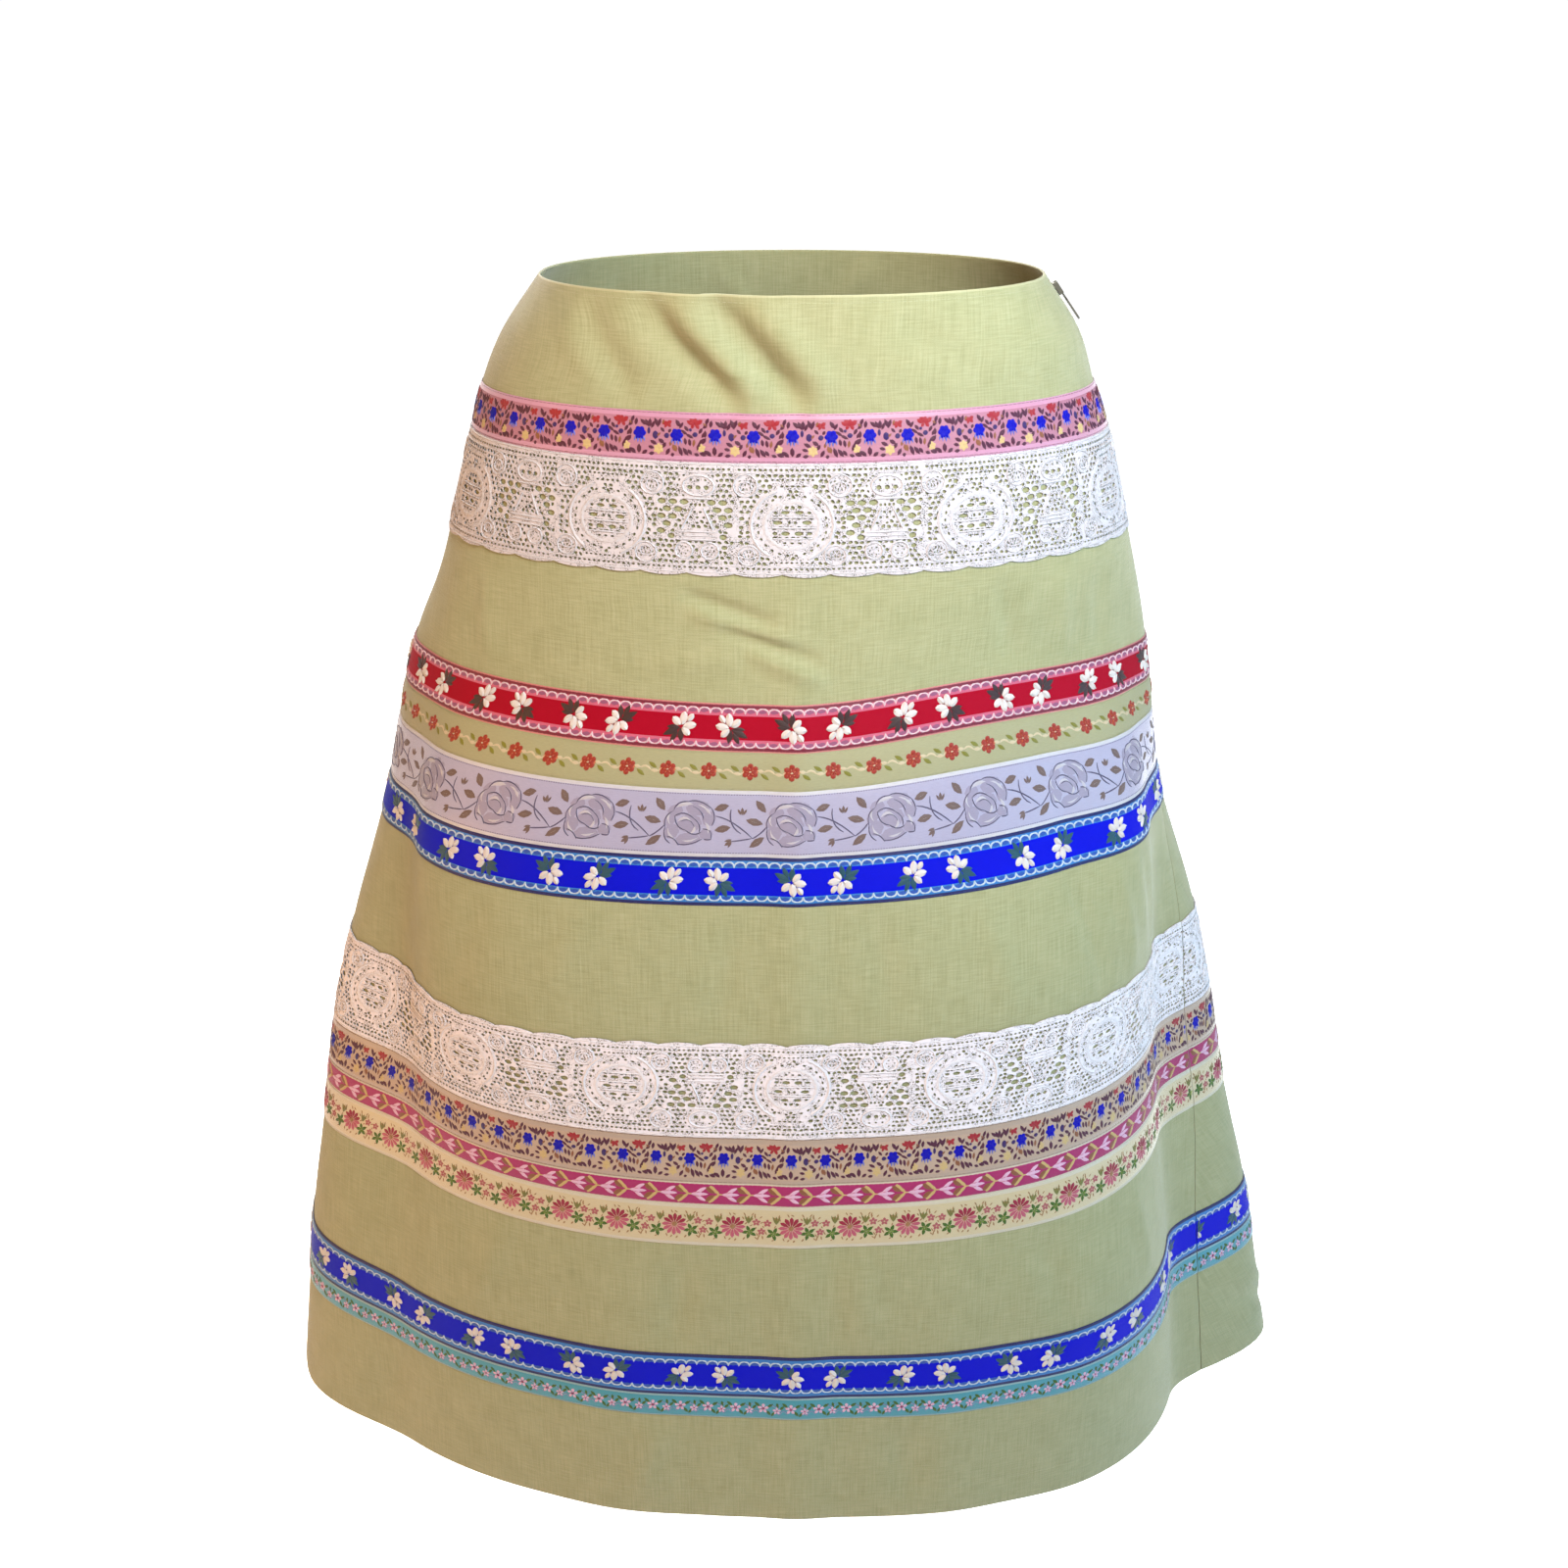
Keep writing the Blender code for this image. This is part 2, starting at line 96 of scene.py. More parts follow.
# Angles from the centre front: drop, right fold, left fold, right seam, left seam
SIDE_LINES = np.array([
    (0.000, 87.0, 90.0, 91.0, 90.0),
    (0.220, 87.0, 88.0, 92.0, 89.0),
    (0.308, 80.0, 86.5, 92.5, 87.5),
    (0.422, 77.0, 84.5, 93.0, 85.5),
    (0.485, 75.5, 83.5, 93.0, 83.5),
    (0.562, 74.0, 82.0, 93.5, 82.0),
    (0.643, 72.0, 80.5, 94.0, 79.0),
    (HEM_DROP, 70.0, 78.0, 94.0, 76.0),
])
PAST_HEM = 2 * HEM_DROP / MM
# Large folds: angle and reach, then depth, start, full and end in millimetres
FOLDS = (
    (1, 9, 1.5, 60, 300, PAST_HEM), (-88, 14, -3.5, 130, 190, 245), (-75, 7, -3.5, 200, 330, 600),
    (72, 14, 9, 210, 315, 470), (81, 6, -3, 290, 400, 660), (38, 12, -2, 480, 680, PAST_HEM),
    (-30, 14, 2, 500, 700, PAST_HEM), (118, 17, 9, 260, 720, PAST_HEM), (146, 14, -12, 210, 720, PAST_HEM),
    (174, 16, 11, 240, 720, PAST_HEM), (-157, 14, -13, 200, 700, PAST_HEM),
    (-128, 16, 10, 280, 720, PAST_HEM), (-108, 9, -6, 320, 700, PAST_HEM),
)
# Soft creases: angle and drop of each end, reach and height, below 0 for a trough, lengths in millimetres
CREASES = (
    (-44, 2, -13, 60, 7.5, -2), (-34, 4, -8, 54, 8.5, 1.5), (-25, 0, 5, 60, 7.5, -2.2),
    (-12, 3, 12, 52, 9, 1.2), (-57, 8, -40, 56, 8, -1), (28, 12, 52, 46, 8, -0.5),
    (-62, 10, -48, 50, 9, 0.6), (-30, 158, -4, 176, 4.5, -0.9), (-27, 168, 2, 186, 4.5, 0.9),
    (-20, 176, 8, 196, 4.5, -0.9), (-12, 190, 10, 208, 5, 0.7), (-34, 200, -12, 194, 6, 0.4),
    (52, 155, 55, 215, 7, -0.7), (64, 155, 66, 218, 6, 0.7), (73, 158, 74, 218, 5, -0.6),
    (58, 338, 60, 420, 6, -0.8), (66, 340, 67, 420, 5, 0.8), (73, 338, 74, 420, 5, -0.7),
    (40, 340, 43, 418, 9, 0.5), (-70, 160, -66, 214, 7, 0.6), (-56, 340, -60, 420, 9, -0.6),
    (-40, 338, -44, 400, 9, 0.4), (-12, 345, -15, 415, 10, -0.4), (18, 345, 21, 410, 10, -0.4),
    (-50, 566, -53, 640, 9, 0.6), (-20, 570, -22, 640, 10, -0.5), (12, 570, 14, 640, 11, 0.5),
    (44, 566, 47, 640, 9, -0.6), (62, 566, 63, 640, 7, 0.6), (80, 700, 87, 735, 5, 0.8),
    (80, 722, 88, 760, 5, -0.8), (92, 700, 97, 760, 7, 0.7), (-64, 696, -67, 765, 9, -0.7),
    (-24, 698, -27, 765, 12, 0.6), (20, 698, 22, 765, 12, -0.6), (150, 6, 172, 48, 6, -0.7),
    (206, 8, 190, 50, 6, -0.6), (120, 10, 134, 50, 8, 0.5), (236, 10, 224, 52, 8, 0.5),
    (168, 168, 190, 172, 5, -0.6), (164, 182, 186, 186, 5, 0.6), (108, 155, 106, 216, 7, -0.6),
    (252, 155, 254, 216, 7, 0.6), (128, 338, 126, 418, 8, 0.6), (160, 340, 157, 418, 10, -0.5),
    (188, 340, 191, 418, 10, 0.5), (222, 338, 226, 418, 8, -0.6), (114, 566, 112, 640, 8, -0.6),
    (134, 566, 132, 640, 9, 0.6), (162, 566, 160, 640, 10, -0.5), (196, 566, 198, 640, 10, 0.5),
    (216, 566, 219, 640, 9, -0.6), (240, 566, 243, 640, 8, 0.6), (126, 698, 124, 765, 10, 0.7),
    (182, 698, 180, 765, 11, -0.7), (228, 698, 231, 765, 10, 0.7),
)


def bell(offset: Array) -> Array:
    """1 at an offset of 0, falling as a squared cosine to 0 at an offset of 1 either way."""
    return np.cos(np.pi / 2 * np.minimum(1.0, np.abs(offset))) ** 2


def ease(value: Array) -> Array:
    """A smooth rise from 0 to 1: three squares less two cubes of the held value."""
    held = np.clip(value, 0.0, 1.0)
    return held * held * (3.0 - 2.0 * held)


def wrapped(angle: Array) -> Array:
    """The angle brought between half a turn either way."""
    return (angle + HALF_TURN) % (2 * HALF_TURN) - HALF_TURN


class Curves:
    """Reads every column of a table of drops as a smooth curve with no overshoot."""

    def __init__(self, table: Array) -> None:
        """Works out each column's slope at each row: the harmonic mean of the rates either side.

        Args:
            table: Rows of a drop and its values, from the top down.
        """
        self.drops, self.values = table[:, 0], table[:, 1:]
        rates = np.diff(self.values, axis=0) / np.diff(self.drops)[:, None]
        before, after = rates[:-1], rates[1:]
        total = np.where(before * after > 0, before + after, 1.0)
        inner = np.where(before * after > 0, 2 * before * after / total, 0.0)
        self.slopes = np.concatenate([rates[:1], inner, rates[-1:]])

    def at(self, drop: Array) -> list[Array]:
        """Every column at each drop.

        Args:
            drop: Distances below the rim.

        Returns:
            One array for each column, in the shape of drop.
        """
        row = np.clip(np.searchsorted(self.drops, drop, side="right") - 1, 0, len(self.drops) - 2)
        run = self.drops[row + 1] - self.drops[row]
        t = (drop - self.drops[row]) / run
        weights = ((1 + 2 * t) * (1 - t) ** 2, t * (1 - t) ** 2 * run,
                   t * t * (3 - 2 * t), t * t * (t - 1) * run)
        return [
            weights[0] * v[row] + weights[1] * m[row] + weights[2] * v[row + 1] + weights[3] * m[row + 1]
            for v, m in zip(self.values.T, self.slopes.T)
        ]


@dataclass
class SkirtForm:
    """The outer face of the linen, as a ring at every drop."""

    flare_fullness: float = 2.5
    back_fullness: float = 2.1
    fold_reach: float = 8.0
    hip_lift: float = 0.006
    hip_middle: tuple[float, float] = (48.0, 0.235)
    hip_reach: tuple[float, float] = (45.0, 0.090)
    seam_depth: float = 0.0006
    seam_reach: float = 0.0016
    crease_scale: float = 2.9
    first_angle: float = -104.0
    last_angle: float = 284.0
    step_angle: float = 0.5
    step_drop: float = 0.002
    levels: Curves = field(default_factory=lambda: Curves(LEVELS))
    sides: Curves = field(default_factory=lambda: Curves(SIDE_LINES))

    def __post_init__(self) -> None:
        """Fills the grid of points, normals and arc lengths that every piece is read from."""
        self.angles = np.arange(self.first_angle, self.last_angle + self.step_angle / 2, self.step_angle)
        self.drops = np.append(np.arange(0.0, HEM_DROP, self.step_drop), HEM_DROP)
        drop, angle = np.meshgrid(self.drops, self.angles, indexing="ij")
        self.points = self.place(angle, drop)
        across = np.gradient(self.points, axis=1)
        down = np.gradient(self.points, axis=0)
        out = np.cross(down, across)
        self.normals = out / np.linalg.norm(out, axis=2, keepdims=True)
        steps = np.linalg.norm(np.diff(self.points, axis=1), axis=2)
        self.arcs = np.concatenate([np.zeros((len(self.drops), 1)), np.cumsum(steps, axis=1)], axis=1)

    def superellipse(self, angle: Array, half_width: Array, depth: Array, fullness: Array) -> Array:
        """Distance from the axis to a rounded oblong: the sum of both shares, each to the fullness."""
        across, along = np.abs(np.sin(np.radians(angle))), np.abs(np.cos(np.radians(angle)))
        return ((across / half_width) ** fullness + (along / depth) ** fullness) ** (-1.0 / fullness)

    def folds(self, angle: Array, drop: Array) -> Array:
        """Sum of the large folds: a squared cosine round each angle, eased in and out down the skirt.

        Args:
            angle: Angles, in degrees.
            drop: Drops, in the same shape.

        Returns:
            How far each point is moved out.
        """
        total = np.zeros_like(angle)
        for middle, reach, *lengths in FOLDS:
            depth, start, full, end = np.array(lengths) * MM
            grown = ease((drop - start) / (full - start))
            fading = 1.0 if end > HEM_DROP else 1.0 - ease((drop - full) / (end - full))
            total += depth * bell(wrapped(angle - middle) / reach) * grown * fading
        return total

    def creases(self, angle: Array, drop: Array, out: Array) -> Array:
        """Sum of the soft creases: a bell of the distance from each line, dying away at its ends.

        Args:
            angle: Angles, in degrees.
            drop: Drops, in the same shape.
            out: Distance of each point from the axis.

        Returns:
            How far each point is moved out.
        """
        total = np.zeros_like(angle)
        for angle_a, drop_a, angle_b, drop_b, reach, height in CREASES:
            x = np.radians(wrapped(angle - angle_a)) * out
            y = drop - drop_a * MM
            run_x, run_y = np.radians(angle_b - angle_a) * out, (drop_b - drop_a) * MM
            t = np.clip((x * run_x + y * run_y) / (run_x**2 + run_y**2), 0.0, 1.0)
            away = np.hypot(x - t * run_x, y - t * run_y) / (reach * MM)
            total += self.crease_scale * height * MM * np.exp(-away * away) * (1.0 - np.abs(2 * t - 1) ** 3)
        return total

    def seam(self, angle: Array, drop: Array, out: Array) -> Array:
        """Depth of the groove along both side seams: a bell of the arc from the seam."""
        _, _, right, left = self.sides.at(drop)
        away = (np.radians(wrapped(angle - seam)) * out / self.seam_reach for seam in (-right, left))
        return self.seam_depth * sum(np.exp(-(x**2)) for x in away)

    def place(self, angle: Array, drop: Array) -> Array:
        """Points of the outer face: an inner oblong eased into an outer one past each side fold.

        Args:
            angle: Angles round the axis, in degrees.
            drop: Drops, in the same shape.

        Returns:
            Points, with a last axis of three.
        """
        turn = wrapped(angle)
        away = np.abs(turn)
        front, back, *sides = self.levels.at(drop)
        right_fold, left_fold, _, _ = self.sides.at(drop)
        left = turn > 0
        panel, fullness, flare = (np.where(left, sides[i + 3], sides[i]) for i in range(3))
        fold = np.where(left, left_fold, right_fold)
        ahead = away <= HALF_TURN / 2
        depth = np.where(ahead, front, back)
        inner = self.superellipse(away, panel, depth, np.where(ahead, fullness, self.back_fullness))
        outer_fullness = np.where(ahead, self.flare_fullness, self.back_fullness)
        outer = self.superellipse(away, flare, depth, outer_fullness)
        past = ease((away - fold + self.fold_reach) / (2 * self.fold_reach))
        out = inner + (outer - inner) * past + self.folds(angle, drop)
        out = out + self.creases(angle, drop, out) - self.seam(angle, drop, out)
        hip_angle, hip_drop = self.hip_middle
        wide, high = self.hip_reach
        hip = bell(wrapped(angle - hip_angle) / wide) * bell((drop - hip_drop) / high)
        around = np.radians(angle)
        return np.stack([out * np.sin(around), -out * np.cos(around), self.hip_lift * hip - drop], -1)

    def sample(self, grid: Array, angle: Array, drop: Array) -> Array:
        """A value of the grid between its four nearest points, weighted by nearness.

        Args:
            grid: Points, normals or arc lengths, for every drop and angle of the form's grid.
            angle: Angles to read at, in degrees.
            drop: Drops, in the same shape.

        Returns:
            The values.
        """
        column = (angle - self.angles[0]) / self.step_angle
        row = np.interp(drop, self.drops, np.arange(len(self.drops)))
        c = np.clip(column.astype(int), 0, len(self.angles) - 2)
        r = np.clip(row.astype(int), 0, len(self.drops) - 2)
        u, v = column - c, row - r
        if grid.ndim == 3:
            u, v = u[..., None], v[..., None]
        above = grid[r, c] * (1 - u) + grid[r, c + 1] * u
        below = grid[r + 1, c] * (1 - u) + grid[r + 1, c + 1] * u
        return above * (1 - v) + below * v

    def skin(self, angle: Array, drop: Array, lift: Array | float) -> Array:
        """Points moved out from the linen's face, along its normals brought back to a length of 1."""
        normal = self.sample(self.normals, angle, drop)
        out = np.asarray(lift)[..., None] * normal / np.linalg.norm(normal, axis=-1, keepdims=True)
        return self.sample(self.points, angle, drop) + out

    def arc(self, angle: Array, drop: Array) -> Array:
        """Length along the ring at a drop, from the grid's first angle."""
        return self.sample(self.arcs, angle, drop)

    def beside(self, seam: Array, drop: Array, x: Array) -> Array:
        """Angles a length x round from a seam: the length over the seam's distance from the axis."""
        at_seam = self.sample(self.points, seam, drop)
        return seam + np.degrees(x / np.hypot(at_seam[..., 0], at_seam[..., 1]))


@dataclass(frozen=True)
class Half:
    """One half of the skirt, from its first side seam round to its last."""

    name: str
    centre: float

    def seams(self, form: SkirtForm, drop: Array) -> tuple[Array, Array]:
        """Angles of the first and the last seam at each drop."""
        _, _, right, left = form.sides.at(drop)
        return (-right, left) if self.name == "front" else (left, 2 * HALF_TURN - right)

    def span(self, form: SkirtForm, drops: Array, inset: float, columns: int) -> tuple[Array, Array]:
        """A grid from seam to seam, its columns the same share of the way at every drop.

        Args:
            form: The skirt's form.
            drops: Drop of each row.
            inset: Length by which the grid stops short of each seam.
            columns: Points in each row.

        Returns:
            Angle and drop of each point.
        """
        first, last = self.seams(form, drops)
        short = np.degrees(inset / MEAN_RADIUS)
        share = np.linspace(0.0, 1.0, columns)
        angle = (first + short)[:, None] + (last - first - 2 * short)[:, None] * share
        return angle, np.repeat(drops[:, None], columns, axis=1)


FRONT = Half("front", 0.0)
BACK = Half("back", HALF_TURN)
HALVES = (FRONT, BACK)


def linear(colour: tuple[int, int, int]) -> Array:
    """A display colour of 0 to 255 as the linear colour that a shader takes."""
    share = np.array(colour) / 255.0
    return np.where(share <= 0.04045, share / 12.92, ((share + 0.055) / 1.055) ** 2.4)


class Graph:
    """Adds nodes to a node tree in one line each."""

    def __init__(self, tree: bpy.types.NodeTree) -> None:
        """Starts with the tree's nodes cleared."""
        self.tree = tree
        tree.nodes.clear()

    def add(self, kind: str, links: dict | None = None, **settings: object) -> bpy.types.Node:
        """Adds a node, sets its properties, then its inputs.

        Args:
            kind: The node's type.
            links: For each input, by name or number, a socket to link or a value to set.
            settings: Properties of the node.

        Returns:
            The node.
        """
        node = self.tree.nodes.new(kind)
        for name, value in settings.items():
            setattr(node, name, value)
        for name, value in (links or {}).items():
            if isinstance(value, Socket):
                self.tree.links.new(value, node.inputs[name])
            else:
                node.inputs[name].default_value = value
        return node

    def math(self, operation: str, first: object, second: object = 0.0,
             third: object = 0.0) -> Socket:
        """The result of a Math node on sockets or numbers."""
        return self.add("ShaderNodeMath", {0: first, 1: second, 2: third}, operation=operation).outputs[0]

    def noise(self, vector: object, scale: float, detail: float = 2.0) -> Socket:
        """The value of a Noise Texture at a scale."""
        links = {"Vector": vector, "Scale": scale, "Detail": detail}
        return self.add("ShaderNodeTexNoise", links).outputs[0]

    def stretched(self, vector: object, scale: tuple[float, float, float]) -> Socket:
        """A vector scaled by its own amount on each axis."""
        return self.add("ShaderNodeMapping", {"Vector": vector, "Scale": scale}).outputs[0]


def new_group(name: str, inputs: Sequence[tuple[str, str, float]],
              outputs: Sequence[str]) -> tuple[Graph, dict]:
    """Starts a shader node group.

    Args:
        name: The group's name.
        inputs: Name, socket type and default of each input.
        outputs: Names of the outputs, all floats.

    Returns:
        The group's graph and its input sockets by name.
    """
    tree = bpy.data.node_groups.new(name, "ShaderNodeTree")
    graph = Graph(tree)
    for label, kind, default in inputs:
        socket = tree.interface.new_socket(label, in_out="INPUT", socket_type=kind)
        if kind == "NodeSocketFloat":
            socket.default_value = default
    for label in outputs:
        tree.interface.new_socket(label, in_out="OUTPUT", socket_type="NodeSocketFloat")
    entry = graph.add("NodeGroupInput")
    return graph, {label: entry.outputs[label] for label, _, _ in inputs}


def weave_group() -> bpy.types.NodeTree:
    """Plain weave: the sine across times the sine along, on a vector that a fine noise bends.

    Returns:
        The group's tree.
    """
    bend_scale, bend, fibre_scale = 160.0, 0.0016, 3000.0
    inputs = (("Vector", "NodeSocketVector", 0.0), ("Threads", "NodeSocketFloat", 1400.0))
    graph, given = new_group("plain weave", inputs, ("Height", "Shade"))
    wander = graph.noise(given["Vector"], bend_scale)
    offset = graph.math("MULTIPLY", graph.math("SUBTRACT", wander, 0.5), bend)
    parts = graph.add("ShaderNodeSeparateXYZ", {0: given["Vector"]})
    turns = [
        graph.math("MULTIPLY", graph.math("ADD", parts.outputs[i], offset), given["Threads"])
        for i in range(2)
    ]
    checks = graph.math("MULTIPLY", graph.math("SINE", turns[0]), graph.math("SINE", turns[1]))
    height = graph.math("MULTIPLY_ADD", checks, 0.5, 0.5)
    fibre = graph.noise(given["Vector"], fibre_scale)
    shade = graph.math("MULTIPLY_ADD", fibre, 0.5, graph.math("MULTIPLY", height, 0.5))
    graph.add("NodeGroupOutput", {"Height": height, "Shade": shade})
    return graph.tree


def slub_group() -> bpy.types.NodeTree:
    """Uneven yarn: noises drawn out along each thread direction, and a broad cloudiness.

    Returns:
        The group's tree.
    """
    weft_scale, warp_scale, cloud_scale = (75.0, 1150.0, 1.0), (950.0, 38.0, 1.0), 55.0
    inputs = (("Vector", "NodeSocketVector", 0.0),)
    graph, given = new_group("slub", inputs, ("Height", "Shade", "Cloud"))
    weft, warp = (graph.noise(graph.stretched(given["Vector"], scale), 1.0, 3.0)
                  for scale in (weft_scale, warp_scale))
    both = graph.math("ADD", graph.math("MULTIPLY", weft, 0.5), graph.math("MULTIPLY", warp, 0.5))
    cloud = graph.noise(given["Vector"], cloud_scale, 6.0)
    graph.add("NodeGroupOutput", {"Height": both, "Shade": both, "Cloud": cloud})
    return graph.tree


def thread_group() -> bpy.types.NodeTree:
    """Threads lying side by side: the sine of the distance across them, less sharp where noisy.

    Returns:
        The group's tree.
    """
    tuft_scale, ripple_share, tuft_share = (300.0, 1800.0, 1.0), 0.45, 0.55
    inputs = (("Vector", "NodeSocketVector", 0.0), ("Threads", "NodeSocketFloat", 16000.0))
    graph, given = new_group("laid threads", inputs, ("Height", "Shade"))
    parts = graph.add("ShaderNodeSeparateXYZ", {0: given["Vector"]})
    ripple = graph.math("SINE", graph.math("MULTIPLY", parts.outputs[1], given["Threads"]))
    height = graph.math("MULTIPLY_ADD", ripple, 0.5, 0.5)
    tuft = graph.noise(graph.stretched(given["Vector"], tuft_scale), 1.0)
    shares = graph.math("MULTIPLY", height, ripple_share), graph.math("MULTIPLY", tuft, tuft_share)
    graph.add("NodeGroupOutput", {"Height": height, "Shade": graph.math("ADD", *shares)})
    return graph.tree


class Cloth(Enum):
    """How a finish is made."""

    LINEN = "plain weave with slubs"
    THREAD = "embroidery or ribbon threads laid side by side"
    COTTON = "soft close cotton, as in lace"
    METAL = "dull plated metal"


@dataclass(frozen=True)
class Finish:
    """A colour of one kind of cloth, thread or metal, with its darkest and lightest tone."""

    name: str
    colour: tuple[int, int, int]
    kind: Cloth = Cloth.THREAD
    dark: float = 0.72
    light: float = 1.12
    roughness: float = 0.55
    sheen: float = 0.04
    bump: float = 0.25
    threads: float = 16000.0
    tint: tuple[float, float, float] = (1.0, 1.0, 1.0)
    gloss: float = 0.2
    contrast: float = 3.6
    relief: float = 0.0004

    def material(self) -> bpy.types.Material:
        """The finish's material, made the first time that it is asked for."""
        return bpy.data.materials.get(self.name) or self.build()

    def build(self) -> bpy.types.Material:
        """Colour from dark to light by the kind's shade, and bump from its height.

        Returns:
            The new material.
        """
        made = bpy.data.materials.new(self.name)
        made.use_nodes = True
        graph = Graph(made.node_tree)
        uv = graph.add("ShaderNodeUVMap", uv_map="cloth").outputs[0]
        if self.kind is Cloth.METAL:
            uv = graph.add("ShaderNodeTexCoord").outputs["Object"]
        ways = {Cloth.LINEN: self.linen, Cloth.METAL: self.brushed, Cloth.COTTON: self.cotton,
                Cloth.THREAD: self.laid}
        shade, height = ways[self.kind](graph, uv)
        base = linear(self.colour) * EXPOSURE
        tones = [[*np.minimum(1.0, base * tone).tolist(), 1.0]
                 for tone in (self.dark * np.array(self.tint), self.light)]
        mixed = graph.add("ShaderNodeMix", {"Factor": shade, 6: tones[0], 7: tones[1]}, data_type="RGBA")
        bump = graph.add("ShaderNodeBump", {"Strength": self.bump, "Distance": self.relief, "Height": height})
        surface = graph.add("ShaderNodeBsdfPrincipled", {
            "Base Color": mixed.outputs[2],
            "Roughness": self.roughness,
            "Metallic": 1.0 if self.kind is Cloth.METAL else 0.0,
            "Sheen Weight": self.sheen,
            "Sheen Roughness": 0.4,
            "Specular IOR Level": self.gloss,
            "Normal": bump.outputs[0],
        })
        graph.add("ShaderNodeOutputMaterial", {"Surface": surface.outputs[0]})
        return made

    def linen(self, graph: Graph, uv: Socket) -> tuple[Socket, Socket]:
        """Shade and height of linen: weave, slubs and cloud in shares, their spread drawn out.

        Args:
            graph: The material's graph.
            uv: Coordinates in metres.

        Returns:
            The shade, from 0 to 1, and the height.
        """
        weave = graph.add("ShaderNodeGroup", {"Vector": uv, "Threads": self.threads},
                          node_tree=GROUPS["weave"])
        slub = graph.add("ShaderNodeGroup", {"Vector": uv}, node_tree=GROUPS["slub"])
        parts = ((weave.outputs["Shade"], 0.30), (slub.outputs["Shade"], 0.56), (slub.outputs["Cloud"], 0.14))
        shade = 0.0
        for socket, weight in parts:
            shade = graph.math("MULTIPLY_ADD", socket, weight, shade)
        spread = graph.math("MULTIPLY_ADD", graph.math("SUBTRACT", shade, 0.5), self.contrast, 0.5)
        slubs = graph.math("MULTIPLY", slub.outputs["Height"], 2.0)
        height = graph.math("ADD", weave.outputs["Height"], slubs)
        return graph.add("ShaderNodeClamp", {0: spread}).outputs[0], height

    def brushed(self, graph: Graph, uv: Socket) -> tuple[Socket, Socket]:
        """Shade and height of brushed metal: one noise drawn out along its length."""
        brushed = graph.noise(graph.stretched(uv, (400.0, 400.0, 5000.0)), 1.0, 3.0)
        return brushed, brushed

    def cotton(self, graph: Graph, uv: Socket) -> tuple[Socket, Socket]:
        """Shade and height of close cotton: the edges between small cells, solid where a noise is high.

        Args:
            graph: The material's graph.
            uv: Coordinates in metres.

        Returns:
            The shade, from 0 to 1, and the height.
        """
        links = {0: uv, 1: (0.0004, 0.0004, 0.0)}
        links = {"Vector": graph.add("ShaderNodeVectorMath", links, operation="ADD").outputs[0],
                 "Scale": self.threads}
        cells = graph.add("ShaderNodeTexVoronoi", links, feature="DISTANCE_TO_EDGE").outputs["Distance"]
        whole = graph.noise(uv, 170.0, 2.0)
        thread, solid = (graph.add("ShaderNodeMapRange", dict(enumerate(ramp))).outputs[0]
                         for ramp in ((cells, 0.10, 0.22, 1.0, 0.0), (whole, 0.44, 0.56, 0.0, 1.0)))
        # Cell middles take the dark tone: the linen seen through the gaps, painted darker as shade under the
        # lace.
        shade = graph.math("MAXIMUM", thread, solid)
        return shade, shade

    def laid(self, graph: Graph, uv: Socket) -> tuple[Socket, Socket]:
        """Shade and height of threads laid side by side."""
        links = {"Vector": uv, "Threads": self.threads}
        thread = graph.add("ShaderNodeGroup", links, node_tree=GROUPS["thread"])
        return thread.outputs["Shade"], thread.outputs["Height"]


GROUPS: dict[str, bpy.types.NodeTree] = {
    "weave": weave_group(),
    "slub": slub_group(),
    "thread": thread_group(),
}


def put(name: str, data: bpy.types.ID) -> Piece:
    """Puts a mesh, camera or lamp in the scene as an object of that name."""
    made = bpy.data.objects.new(name, data)
    bpy.context.scene.collection.objects.link(made)
    return made


def add_piece(
    name: str,
    points: Array,
    faces: Array,
    finishes: Sequence[Finish],
    tones: Array | None = None,
    uv: Array | None = None,
    crease_angle: float = 50.0,
) -> Piece:
    """Puts a surface in the scene as one piece.

    Args:
        name: The piece's name.
        points: Corners, n by 3.
        faces: Corner numbers, m by 4, or m by 3.
        finishes: The piece's finishes, in slot order.
        tones: For each face, the number of its finish.
        uv: For each corner, its place on the cloth in metres.
        crease_angle: Edges sharper than this, in degrees, stay sharp.

    Returns:
        The object, riding on the skirt.
    """
    mesh = bpy.data.meshes.new(name)
    mesh.from_pydata(points.reshape(-1, 3).tolist(), [], faces.tolist())
    for finish in finishes:
        mesh.materials.append(finish.material())
    if tones is not None:
        mesh.polygons.foreach_set("material_index", tones.astype(np.int32))
    if uv is not None:
        layer = mesh.uv_layers.new(name="cloth")
        layer.data.foreach_set("uv", uv.reshape(-1, 2)[faces.reshape(-1)].astype(np.float32).ravel())
    mesh.shade_smooth()
    mesh.set_sharp_from_angle(angle=np.radians(crease_angle))
    piece = put(name, mesh)
    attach(piece, "skirt")
    return piece


def grid_faces(rows: int, columns: int) -> Array:
    """Four-cornered faces of a grid of points, row by row, facing along the rows' left hand."""
    first = np.add.outer(np.arange(rows - 1) * columns, np.arange(columns - 1)).reshape(-1)
    return np.stack([first, first + columns, first + columns + 1, first + 1], -1)


